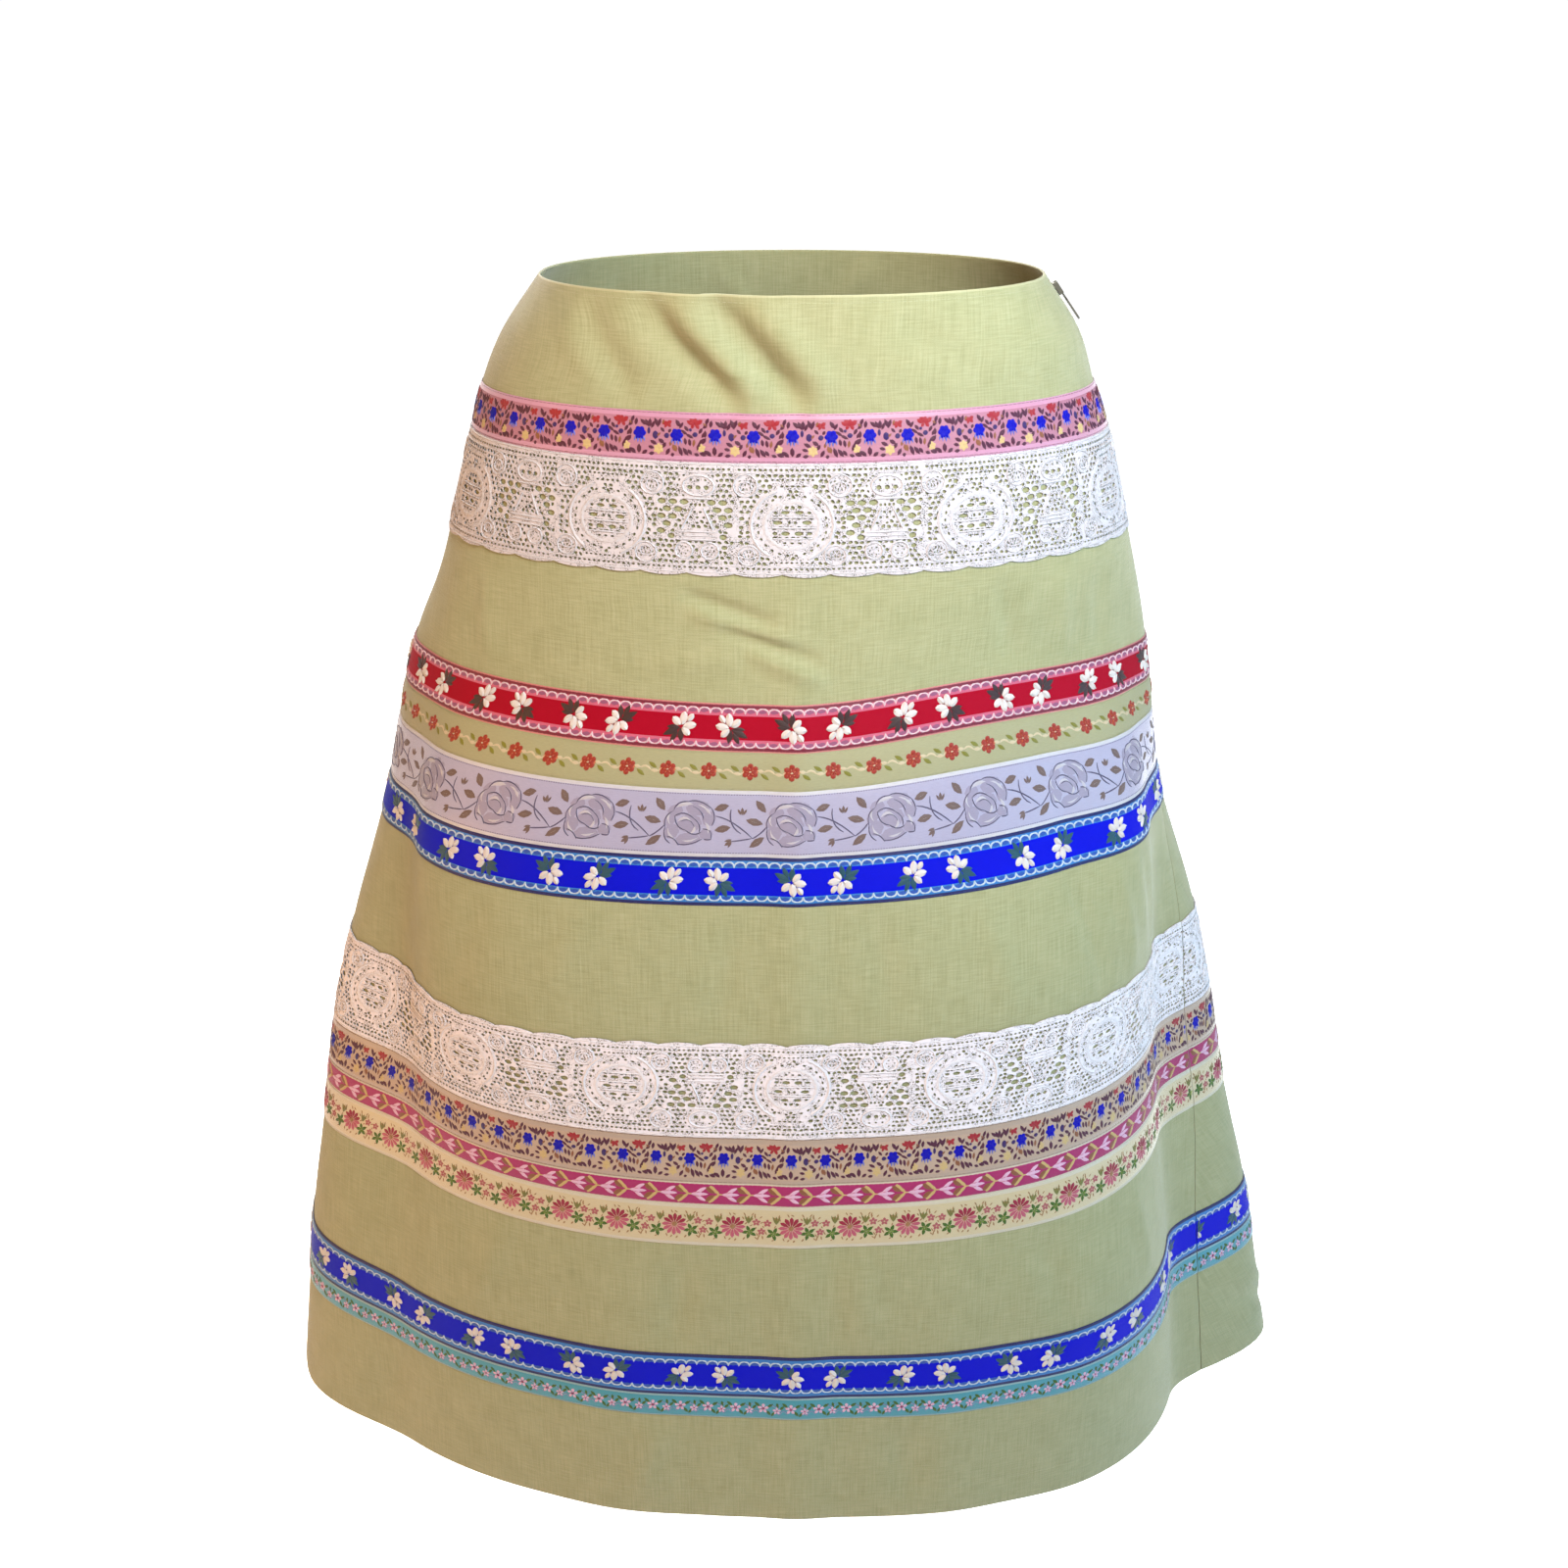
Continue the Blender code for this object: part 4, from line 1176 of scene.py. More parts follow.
def tulip_chart() -> Chart:
    """Tulips lying along the band, each with a gold chevron and brown leaves."""
    return Chart(19.2, (
        Strokes(BROWN, both_sides(straight([(4.6, 5, 10.2, 0.6, 3.4)]))),
        Strokes(GOLD_THREAD, both_sides(straight([(7, 5.8, 12.8, 0.3, 2)])), Shape.LINE, 0.3),
        Strokes(GOLD_THREAD, straight([(12, 0, 15.5, 0, 0.9)]), Shape.LINE, 0.3),
        Strokes(TULIP, straight([(-4.4, 0, 3, 0, 4.6)]), Shape.DROP, 0.4),
        Strokes(TULIP, straight([(-1.6, 1, 5, 4.8, 2.3), (0, 0, 6.2, 0, 2), (-1.6, -1, 5, -4.8, 2.3)])),
        Strokes(DAISY_PALE, straight([(-2.6, 0.9, 1.8, 1.5, 0.6), (-2.6, -0.9, 1.8, -1.5, 0.6)]), lift=0.5,
                segments=2),
    ))


def daisy_chart() -> Chart:
    """Daisies of two pinks with fans of leaves and small clusters.

    Returns:
        The chart.
    """
    period = 36.4
    petals = rays(0, 0, 12, 1.5, 8, 3)
    fans = ((10.6, -3.6, 40), (25.6, -4.4, 68))
    leaves, limes = (np.vstack([rays(x, y, 5, 0.2, outer, width, start) for x, y, start in fans])
                     for outer, width in ((4.9, 2.4), (2.6, 1.1)))
    sprays = straight([(x, 2.4, x + dx, 8.2, 1.5) for x in (9.6, 27) for dx in (-2.4, 0, 2.4)])
    places = ((14.5, 3.4), (21.5, 3), (18, -3))
    clusters = np.vstack([rays(x, y, 5, 0.3, 2.8, 1.9) for x, y in places])
    upper = petals[petals[:, 5] >= 0.5]
    lower = petals[petals[:, 5] < 0.5]
    clear = ((0, 0, 8.4), *((x, y, 4.4) for x, y, _ in fans), *((x, y, 3) for x, y in places))
    return Chart(period, (
        Strokes(TAN, scattered(5, 120, period, 9.2, 2.4, 1.1, clear), lift=0.18, segments=3),
        Strokes(GREEN, leaves),
        Strokes(LIME, limes, lift=0.45, segments=2),
        Strokes(OLIVE, sprays, segments=3),
        Strokes(CLUSTER, clusters, segments=3),
        Strokes(DAISY, upper, Shape.DROP, 0.35),
        Strokes(DAISY_PALE, lower, Shape.DROP, 0.35),
        Strokes(TAN, spots([(0, 0, 3.2, 3.2, 0)]), Shape.ROUND, 0.6),
    ))


def brocade_chart() -> Chart:
    """Small pink flowers and green leaves over pale curls."""
    return Chart(18, (
        Strokes(TURQUOISE_SHEEN, bent([(-7, -4, -5, 1, -2, -4, 0.8), (5, 4, 8, -1, 11, 4, 0.8),
                                       (6, -5, 9, -2, 11, -5, 0.8)]), Shape.LINE, 0.18),
        Strokes(GREEN, straight([
            (2.4, 1, 6.4, 3.8, 2.2), (2.2, -1.4, 5, -5.2, 2.1), (-2.2, 1.4, -5.8, 4.8, 2.1),
            (7.4, -2.6, 5.6, -5.8, 1.9), (10.8, -0.6, 13.4, 2.4, 2), (9.6, 0.8, 8.8, 4.8, 1.9)])),
        Strokes(TULIP, rays(0, 0, 5, 0.4, 3.8, 2.5), Shape.DROP, 0.4),
        Strokes(TULIP, rays(9, -1.6, 5, 0.3, 2.8, 1.9, 20), Shape.DROP, 0.35),
        Strokes(MAGENTA, rays(0, 0, 5, 0.2, 1.5, 0.8), lift=0.55, segments=3),
        Strokes(MAGENTA, spots([(9, -1.6, 1.3, 1.3, 0)]), Shape.ROUND, 0.5, 3),
    ))


@dataclass(frozen=True)
class Band:
    """A trim's place on the skirt and what it is made of. Stripes run from the top edge down."""

    name: str
    slot: str
    top: float
    bottom: float
    stripes: tuple[tuple[float, Finish], ...] = ()
    chart: Chart | None = None
    thread: Finish = SEAM_THREAD
    face: float = 0.78
    edge_fall: float = 0.40

    @property
    def middle(self) -> float:
        """Drop of the band's middle line."""
        return (self.top + self.bottom) / 2

    @property
    def height(self) -> float:
        """Drop from the band's top edge to its bottom edge."""
        return self.bottom - self.top

    def rise(self, drop: Array) -> Array:
        """Height of the band's face above the linen: full in the middle, falling near both edges."""
        share = np.abs(drop - self.middle) / (self.height / 2)
        return (self.face - self.edge_fall * np.minimum(1.0, share) ** 10) * MM


class BandLine:
    """Turns lengths along a band on one half of the skirt into angles."""

    def __init__(self, form: SkirtForm, half: Half, band: Band) -> None:
        """Measures the ring at the band's middle from the half's centre.

        Args:
            form: The skirt's form.
            half: The half of the skirt.
            band: The band.
        """
        self.form, self.half, self.band = form, half, band
        level = np.full(len(form.angles), band.middle)
        lengths = form.arc(form.angles, level)
        centre = form.arc(np.array([half.centre]), np.array([band.middle]))[0]
        self.lengths = (lengths - centre) / MM
        first, last = half.seams(form, np.array([band.middle]))
        self.first, self.last = float(first[0]), float(last[0])
        ends = np.interp([self.first, self.last], form.angles, self.lengths)
        self.start, self.end = float(ends[0]), float(ends[1])

    def angles(self, x: Array, drop: Array, margin: float) -> Array:
        """Angles of points along the band: the same share of the way from seam to seam at every drop.

        Args:
            x: Millimetres along from the half's centre.
            drop: Drop of each point.
            margin: Millimetres by which they stop short of both seams.

        Returns:
            The angles, in degrees.
        """
        share = (np.interp(x, self.lengths, self.form.angles) - self.first) / (self.last - self.first)
        first, last = self.half.seams(self.form, drop)
        inset = np.degrees(margin * MM / MEAN_RADIUS)
        return np.clip(first + share * (last - first), first + inset, last - inset)

    def drops(self, y: Array) -> Array:
        """Drops of the points y millimetres above the band's middle."""
        return self.band.middle - y * MM

    def copies(self, period: float, offset: float) -> Array:
        """Places of a repeat's own start that reach some of the half."""
        first = np.floor((self.start - offset) / period) - 1
        last = np.ceil((self.end - offset) / period) + 1
        return np.arange(first, last + 1) * period + offset

    def steps(self, pitch: float) -> Array:
        """Places at a pitch from the half's first seam to its last."""
        return self.start + np.arange(int((self.end - self.start) / pitch)) * pitch

    def declare(self, cloth: Piece, figure: Piece) -> None:
        """Hides the node that a trim laid on the linen replaces; the trim's flat size, the band's length from
        seam to seam by its height, is passed on but not used.
        """
        flat = ((self.end - self.start) * MM, self.band.height)
        declare(cloth, f"{self.band.name}_{self.half.name}", self.band.slot, [figure],
                flat=flat, held="laid", rests_on=[f"{self.half.name}_cloth"])


def copied(faces: Array, size: int, count: int) -> Array:
    """Faces of one part repeated for count copies of it, each with size points."""
    return (faces[None] + (np.arange(count) * size)[:, None, None]).reshape(-1, faces.shape[1])


def joined(parts: Sequence[tuple[Array, Array, Array]]) -> tuple[Array, Array, Array]:
    """Several parts as one."""
    points, faces, uvs = zip(*parts)
    starts = np.cumsum([0] + [len(part) for part in points[:-1]])
    return np.vstack(points), np.vstack([part + start for part, start in zip(faces, starts)]), np.vstack(uvs)


@dataclass
class StrokeMaker:
    """Lays strokes on a band as raised strips. Lengths are millimetres."""

    line: BandLine
    across: int = 2
    sunk: float = 0.06
    bold: float = 1.0
    end_clear: float = 1.0
    edge_clear: float = 0.15
    side_clear: float = 0.5
    full_lift: float = 0.5
    thread_shift: float = 1.7

    def strips(self, layer: Strokes, shifts: Array) -> tuple[Array, Array, Array]:
        """Strips of every stroke of a layer at every shift: a quadratic curve with a domed section.

        Args:
            layer: The strokes.
            shifts: Millimetres along the band of each copy.

        Returns:
            Points, faces and UVs.
        """
        rows = np.repeat(layer.rows[None], len(shifts), axis=0)
        rows[:, :, 0:6:2] += shifts[:, None, None]
        rows = rows.reshape(-1, 7)
        middle = (rows[:, 0] + rows[:, 4]) / 2
        rows = rows[(middle > self.line.start + self.end_clear) & (middle < self.line.end - self.end_clear)]
        start, control, end, width = rows[:, 0:2], rows[:, 2:4], rows[:, 4:6], rows[:, 6]
        t = np.linspace(0.0, 1.0, layer.segments + 1)[None, :, None]
        centre = start[:, None] * (1 - t) ** 2 + control[:, None] * 2 * t * (1 - t) + end[:, None] * t**2
        along = (control - start)[:, None] * (1 - t) + (end - control)[:, None] * t
        length = np.maximum(np.linalg.norm(along, axis=2, keepdims=True), 1e-6)
        normal = np.concatenate([-along[..., 1:], along[..., :1]], -1) / length
        half = (layer.shape.widths(t[..., 0]) * width[:, None] / 2 * self.bold)[..., None]
        side = np.linspace(-1.0, 1.0, self.across + 1)
        flat = centre[:, :, None] + normal[:, :, None] * (half * side)[..., None]
        height = layer.lift * (1.0 - side**2)[None, None] * np.sqrt(np.minimum(1.0, half / self.full_lift))
        height = np.where(side**2 > 0.99, -self.sunk, height)
        count, steps, wide = flat.shape[:3]
        x, y = flat[..., 0].reshape(-1), flat[..., 1].reshape(-1)
        limit = self.line.band.height / 2 / MM - self.edge_clear
        drop = self.line.drops(np.clip(y, -limit, limit))
        angle = self.line.angles(x, drop, self.side_clear)
        points = self.line.form.skin(angle, drop, self.line.band.rise(drop) + height.reshape(-1) * MM)
        faces = copied(grid_faces(steps, wide)[:, ::-1], steps * wide, count)
        pieces = np.linalg.norm(np.diff(centre, axis=1), axis=2)
        run = np.cumsum(np.concatenate([np.zeros((count, 1)), pieces], 1), 1)
        v = half * side + np.arange(count)[:, None, None] * self.thread_shift
        return points, faces, np.stack([np.repeat(run[..., None], wide, axis=2), v], -1).reshape(-1, 2) * MM

    def piece(self, name: str, layers: Sequence[tuple[Strokes, Array]]) -> Piece:
        """Makes one piece of several layers.

        Args:
            name: The piece's name.
            layers: Strokes of each layer, with the shifts of its copies.

        Returns:
            The piece.
        """
        finishes = list(dict.fromkeys(layer.finish for layer, _ in layers))
        parts = [self.strips(layer, shifts) for layer, shifts in layers]
        tones = [np.full(len(faces), finishes.index(layer.finish))
                 for (layer, _), (_, faces, _) in zip(layers, parts)]
        points, faces, uv = joined(parts)
        return add_piece(name, points, faces, finishes, np.concatenate(tones), uv)


@dataclass
class Trimmer:
    """Makes the ribbons: a shell for each half, its motifs and the stitches that hold it."""

    form: SkirtForm
    column_pitch: float = 0.0045
    row_pitch: float = 0.004
    under: float = 0.00028
    side_inset: float = 0.00015
    bold: float = 1.2
    stitch: float = 2.4
    stitch_width: float = 0.38
    stitch_lift: float = 0.16
    stitch_pitch: float = 3.0
    stitch_inset: float = 0.8

    def stitches(self, line: BandLine, finish: Finish) -> tuple[Strokes, Array]:
        """A row of stitches just inside each edge of the band."""
        y = line.band.height / 2 / MM - self.stitch_inset
        rows = both_sides(straight([(0.0, y, self.stitch, y, self.stitch_width)]))
        return Strokes(finish, rows, Shape.LINE, self.stitch_lift, 1), line.steps(self.stitch_pitch)

    def rows(self, band: Band) -> tuple[Array, Array]:
        """Rows of the band's shell, with a row at every change of stripe.

        Args:
            band: The band.

        Returns:
            The drops of the rows, and the stripe that each step between rows belongs to.
        """
        total = sum(width for width, _ in band.stripes)
        drops, tones, level = [band.top], [], band.top
        for number, (width, _) in enumerate(band.stripes):
            run = band.height * width / total
            steps = max(1, int(np.ceil(run / self.row_pitch)))
            drops.extend(level + run * (np.arange(steps) + 1) / steps)
            tones.extend([number] * steps)
            level += run
        return np.array(drops), np.array(tones)

    def shell(self, line: BandLine) -> Piece:
        """The band's cloth on one half, a thin closed wall.

        Args:
            line: The band on one half.

        Returns:
            The cloth.
        """
        band = line.band
        drops, stripes = self.rows(band)
        columns = int((line.end - line.start) * MM / self.column_pitch)
        angle, drop = line.half.span(self.form, drops, self.side_inset, columns)
        outer, inner = (self.form.skin(angle, drop, lift) for lift in (band.rise(drop), self.under))
        along = np.interp(angle, self.form.angles, line.lengths) * MM
        return add_wall(f"{band.name}_{line.half.name}_cloth", outer, inner, along, drop - band.middle,
                        [finish for _, finish in band.stripes], np.repeat(stripes, columns - 1))

    def make(self, band: Band, half: Half) -> None:
        """Makes one band on one half and hides the node that it replaces.

        Args:
            band: The band.
            half: The half of the skirt.
        """
        line = BandLine(self.form, half, band)
        cloth = self.shell(line)
        layers = [self.stitches(line, band.thread)]
        if band.chart:
            shifts = line.copies(band.chart.period, 0.0)
            layers += [(layer, shifts) for layer in band.chart.layers]
        maker = StrokeMaker(line, bold=self.bold)
        line.declare(cloth, maker.piece(f"{band.name}_{half.name}_figure", layers))


@dataclass
class LaceRepeat:
    """One repeat of bobbin lace as a flat sheet with its holes cut through. Lengths are millimetres."""

    width: float = 104.0
    height: float = 62.5
    start: float = -31.0
    glass: float = 52.0
    scallop: float = 26.0
    scallop_depth: float = 1.8
    corners: int = 8
    small_corners: int = 5
    large: float = 1.15
    beading: float = 2.89
    ground_pitch: float = 3.3
    spare: float = 0.45
    border_step: float = 1.3
    end_steps: int = 13
    mesh_step: float = 5.0
    bracket_start: float = 12.0
    inner_ring: Oval = (0.0, 33.5, 15.0, 13.0)
    outer_ring: Oval = (0.0, 33.5, 22.6, 20.2)
    glass_ring: Oval = (52.0, 12.6, 8.8, 5.6)
    holes: list[tuple[float, ...]] = field(default_factory=list)

    def __post_init__(self) -> None:
        """Lists every hole, then leaves out those that meet another or the border."""
        self.add_edges()
        self.add_medallion()
        self.add_hourglass()
        self.add_net()
        self.add_ground()
        self.holes = self.apart(self.holes)

    def row(self, y: float, places: Sequence[float], length: float, height: float) -> None:
        """Adds a row of like holes."""
        self.holes += [(x, y, length / 2, height / 2, 0.0) for x in places]

    def pairs(self, rows: Sequence[tuple[float, float, float, float]], middle: float = 0.0) -> None:
        """Adds a hole on each side of a middle, for every row of level, distance, length and height."""
        for y, away, length, height in rows:
            self.row(y, (middle - away, middle + away), length, height)

    def ring(self, oval: Oval, count: int, length: float, height: float) -> None:
        """Adds holes along an oval, each lying along it.

        Args:
            oval: Its middle, half width and half height.
            count: Number of holes.
            length: Length of a hole.
            height: Height of a hole.
        """
        x, y, rx, ry = oval
        around = np.radians(360.0 * np.arange(count) / count)
        turn = np.degrees(np.arctan2(ry * np.cos(around), -rx * np.sin(around)))
        holes = table(x + rx * np.cos(around), y + ry * np.sin(around), length / 2, height / 2, turn)
        self.holes += map(tuple, holes.tolist())

    def fan(self, x: float, y: float, radius: float, first: float, last: float) -> None:
        """Adds tiny holes pointing outward along two arcs of a fan.

        Args:
            x: Foot of the fan along the lace.
            y: Level of its foot.
            radius: Radius of the outer arc.
            first: Direction of the first hole, in degrees.
            last: Direction of the last.
        """
        for share, count in ((0.55, 5), (1.0, 8)):
            turn = np.linspace(first, last, count)
            away_x, away_y = np.cos(np.radians(turn)), np.sin(np.radians(turn))
            holes = table(x + radius * share * away_x, y + radius * share * away_y, 0.9, 0.4, turn)
            self.holes += map(tuple, holes.tolist())

    def add_edges(self) -> None:
        """Adds the beading along the straight edge and above the scallops."""
        for y, length, height in ((3.5, 2, 1.6), (57.8, 1.9, 1.3)):
            self.row(y, np.arange(self.start + 1.6, self.start + self.width, self.beading), length, height)

    def add_medallion(self) -> None:
        """Adds the round medallion, the flowers beside it and the rows above and below."""
        self.pairs(((26.4, 3.8, 5, 2.2), (26.6, 9.2, 2.4, 1.6), (32, 8, 5.6, 2.5), (32, 1.6, 1.8, 1.8),
                    (38, 3.6, 5, 2.6), (38, 9.4, 3, 2)))
        self.row(43.2, (-4, 0, 4), 2.2, 1.2)
        self.ring((0, 33.5, 18.9, 16.7), 26, 2.2, 1.4)
        for side in (-1, 1):
            self.row(30, (side * 22.6, side * 27.6), 3.2, 2.2)
            self.row(35, (side * 22.6, side * 27.8), 2.8, 2.2)
            self.row(40, (side * 24, side * 28.4), 2.4, 1.8)
            self.fan(side * 26, 8.5, 5.6, 20, 160)
            self.fan(side * 23.5, 53.5, 5.2, 200, 340)
        self.row(8.8, np.linspace(-11, 11, 9), 1.9, 1.2)
        self.row(12.2, np.linspace(-6, 6, 5), 2.2, 1.4)
        self.pairs(((12.4, 12.5, 3, 2.6),))
        self.row(54.2, np.linspace(-11, 11, 9), 1.8, 1.1)

    def add_hourglass(self) -> None:
        """Adds the hourglass between the medallions."""
        self.row(13.6, self.glass + np.array([-4.6, 0, 4.6]), 3, 2.6)
        self.row(9.6, self.glass + np.array([-4, 0, 4]), 1.6, 1.3)
        self.ring((self.glass, 12.6, 11.4, 7.6), 16, 1.8, 1.2)
        self.row(23, self.glass + np.array([-3.6, -1.2, 1.2, 3.6]), 1.7, 1.9)
        for level, (y, count) in enumerate(((27, 2), (30, 3), (33, 3))):
            half = 1.6 + 2.0 * level
            self.row(y, self.glass + np.linspace(-half, half, count), 1.8, 1.5)
        for side in (-1, 1):
            self.row(40.6, (self.glass + side * 14.4,), 4.4, 3.4)
            self.row(46.4, (self.glass + side * 15.2,), 3.4, 2.6)
            self.ring((self.glass + side * 7.2, 48.4, 2.4, 2.2), 6, 1.1, 0.9)
            self.row(55, (self.glass + side * 11, self.glass + side * 3), 2.4, 1.4)
        self.row(48, (self.glass,), 2.2, 2.2)

    def add_net(self) -> None:
        """Adds the open net on both sides of the hourglass, its rows staggered."""
        foot = 21.6
        for line, y in enumerate(np.arange(foot, 38.5, 4.1)):
            for x in np.arange(7.6 + 3.2 * (line % 2), 21, 6.3):
                if x > 6.8 + 0.34 * (y - foot):
                    self.pairs(((y, x, 5.3, 3.4),), self.glass)

    def add_ground(self) -> None:
        """Adds the close ground net wherever no solid ring or bar runs."""
        for line, y in enumerate(np.arange(6.6, 57.5, self.ground_pitch * 0.86)):
            shift = self.ground_pitch / 2 * (line % 2)
            for x in np.arange(self.start + 1.6 + shift, self.start + self.width - 1.0, self.ground_pitch):
                wobble = 0.22 * np.sin(3.1 * x + 1.7 * y)
                if not self.solid(x, y):
                    self.holes.append((x + wobble, y - wobble, 1.28, 0.96, 40.0 * np.sin(1.3 * x - y)))

    def solid(self, x: float, y: float) -> bool:
        """Whether a point lies in one of the close-worked rings, discs or bars.

        Args:
            x: Place along the lace.
            y: Level.

        Returns:
            True where the work is close.
        """
        rings = ((self.inner_ring, 2.0), (self.outer_ring, 1.6), (self.glass_ring, 1.4))
        discs = ((26.0, 12.0, 6.6), (-26.0, 12.0, 6.6), (23.5, 50.4, 6.0), (-23.5, 50.4, 6.0),
                 (self.glass - 7.2, 48.4, 5.0), (self.glass + 7.2, 48.4, 5.0))
        in_ring = (abs(np.hypot((x - mx) / rx, (y - my) / ry) - 1.0) * min(rx, ry) < half
                   for (mx, my, rx, ry), half in rings)
        in_disc = (np.hypot(x - mx, y - my) < reach for mx, my, reach in discs)
        return any(in_ring) or any(in_disc) or (abs(y - 40.0) < 3.0 and abs(x - self.glass) < 11.0)

    def reach(self, x: Array) -> Array:
        """How far the sheet goes at each x: a round lobe to each scallop, with a cusp between."""
        lobe = np.abs(np.sin(np.pi * (x - self.start) / self.scallop)) ** 0.7
        return self.height - self.scallop_depth * (1.0 - lobe)

    def apart(self, holes: Sequence[tuple[float, ...]]) -> list[tuple[float, ...]]:
        """Keeps each hole that stands clear of the border and of those kept before it.

        Args:
            holes: Centre, half length, half height and turn of each, the most wanted first.

        Returns:
            The holes that are kept.
        """
        kept: list[tuple[float, ...]] = []
        for hole in holes:
            x, y, rx, ry, _ = hole
            size = max(rx, ry) + self.spare
            if not self.start + size < x < self.start + self.width - size:
                continue
            if not size < y < float(self.reach(np.array(x))) - size:
                continue
            near = [np.hypot(x - k[0], y - k[1]) - 0.92 * (self.radius(hole, k) + self.radius(k, hole))
                    for k in kept]
            if not near or min(near) > 0.30:
                kept.append(hole)
        return kept

    @staticmethod
    def radius(hole: tuple[float, ...], other: tuple[float, ...]) -> float:
        """Half size of an oval hole in the direction of another hole."""
        toward = np.arctan2(other[1] - hole[1], other[0] - hole[0]) - np.radians(hole[4])
        return 1.0 / np.hypot(np.cos(toward) / hole[2], np.sin(toward) / hole[3])

    def loop(self, hole: tuple[float, ...]) -> Array:
        """Corners round a hole, more of them where it is large.

        Args:
            hole: Centre, half length, half height and turn.

        Returns:
            The corners.
        """
        x, y, rx, ry, turn = hole
        count = self.corners if max(rx, ry) >= self.large else self.small_corners
        around = np.arange(count) * 2 * np.pi / count
        cos, sin = np.cos(np.radians(turn)), np.sin(np.radians(turn))
        a, b = rx * np.cos(around), ry * np.sin(around)
        return table(x + a * cos - b * sin, y + a * sin + b * cos)

    def border(self) -> Array:
        """Corners round the sheet: the straight edge, one end, the scallops, then the other end.

        Returns:
            The corners.
        """
        stop = self.start + self.width
        steps = np.append(np.arange(self.start, stop + 0.5, self.border_step)[:-1], stop)
        ends = np.arange(1, self.end_steps) * self.height / self.end_steps
        return np.vstack([table(steps, 0.0), table(stop, ends), table(steps, self.reach(steps))[::-1],
                          table(self.start, ends[::-1])])

    def sheet(self) -> tuple[Array, Array, Array]:
        """Cuts the sheet into triangles round the holes.

        Returns:
            Corners, triangles, and the pairs of corners along each hole and both long edges.
        """
        border = self.border()
        loops = [self.loop(hole) for hole in self.holes]
        inner = [(x, y) for x in np.arange(self.start + 2.5, self.start + self.width - 1, self.mesh_step)
                 for y in np.arange(3.0, self.height - 3.0, self.mesh_step)
                 if all(np.hypot(x - h[0], y - h[1]) > max(h[2], h[3]) + 0.8 for h in self.holes)]
        corners = np.vstack([border, *loops, np.array(inner).reshape(-1, 2)])
        owner = np.full(len(corners), -1)
        edges, size = [], 0
        for number, ring in enumerate([border, *loops]):
            around = np.arange(len(ring)) + size
            edges.append(np.stack([around, np.roll(around, -1)], -1))
            owner[around] = number
            size += len(ring)
        given = [Vector(c) for c in corners.tolist()]
        points, _, triangles, sources, _, _ = delaunay_2d_cdt(given, np.vstack(edges).tolist(), [], 0, 1e-5)
        back = np.array([s[0] if s else -1 for s in sources])
        flat = np.array([tuple(p) for p in points])
        tri = np.array(triangles)
        of = np.where(back[tri] >= 0, owner[back[tri]], -1)
        in_hole = (of[:, 0] > 0) & (of[:, 0] == of[:, 1]) & (of[:, 1] == of[:, 2])
        centre = flat[tri].mean(axis=1)
        outside = centre[:, 1] > self.reach(centre[:, 0])
        tri = tri[~(in_hole | outside)]
        flipped = np.cross(flat[tri[:, 1]] - flat[tri[:, 0]], flat[tri[:, 2]] - flat[tri[:, 0]]) < 0
        tri[flipped] = tri[flipped][:, ::-1]
        owners = np.where(back >= 0, owner[back], -1)
        return flat, tri, self.rims(flat, tri, owners)

    def rims(self, flat: Array, tri: Array, owners: Array) -> Array:
        """Edges that only one triangle has, round the border and the large holes, not on the short ends.

        Args:
            flat: Corners of the sheet.
            tri: Its triangles.
            owners: For each corner, 0 on the border, the number of its hole, or -1.

        Returns:
            Pairs of corners.
        """
        sides = np.vstack([tri[:, [0, 1]], tri[:, [1, 2]], tri[:, [2, 0]]])
        key = np.sort(sides, axis=1)
        _, first, count = np.unique(key, axis=0, return_index=True, return_counts=True)
        lone = sides[first[count == 1]]
        x = flat[lone][..., 0]
        at_end = (np.abs(x - self.start) < 1e-3).all(1) | (np.abs(x - self.start - self.width) < 1e-3).all(1)
        sizes = np.array([self.large] + [max(hole[2], hole[3]) for hole in self.holes])
        walled = sizes[np.maximum(owners[lone[:, 0]], 0)] >= self.large
        return lone[~at_end & walled]

    def cords(self) -> Chart:
        """Raised cords over the sheet, with y measured from the straight edge.

        Returns:
            The chart, its ovals and bars first and its edges second.
        """
        outer = self.oval(self.outer_ring, 32, 3.0)
        brackets = outer[np.abs(outer[:, 0]) > self.bracket_start]
        outlines = [self.oval(self.inner_ring, 26, 3.4), brackets, self.oval(self.glass_ring, 14, 2.0)]
        for side in (-1, 1):
            outlines += [self.oval((self.glass + side * 7.2, 48.4, 4.9, 4.7), 10, 1.7)]
            outlines += [self.oval((side * x, y, rx, ry), count, width) for x, y, rx, ry, count, width in (
                (26.0, 12.0, 6.6, 6.2, 12, 1.3), (26.0, 13.0, 3.6, 3.2, 8, 1.0),
                (23.5, 50.4, 6.0, 5.6, 12, 1.3), (23.5, 49.6, 3.2, 2.8, 8, 1.0))]
        legs = [(self.glass + side * 3.2, 25.0, self.glass + side * 8.8, 36.6, 1.6) for side in (-1, 1)]
        bars = [(middle - half, y, middle + half, y, width) for middle, half, y, width in (
            (self.glass, 11, 38.0, 1.6), (self.glass, 11, 40.2, 1.2), (self.glass, 11, 42.4, 1.6),
            (self.glass, 7, 19.6, 1.6), (0, 12, 29.2, 1.4), (0, 13, 35.0, 1.4), (0, 11, 41.0, 1.4))]
        edges = [chain(self.width, 5.2, y, y, width)
                 for y, width in ((0.9, 1.3), (5.4, 0.9), (60.4, 1.3), (56.6, 0.9))]
        lines = np.vstack([*outlines, straight(legs + bars)])
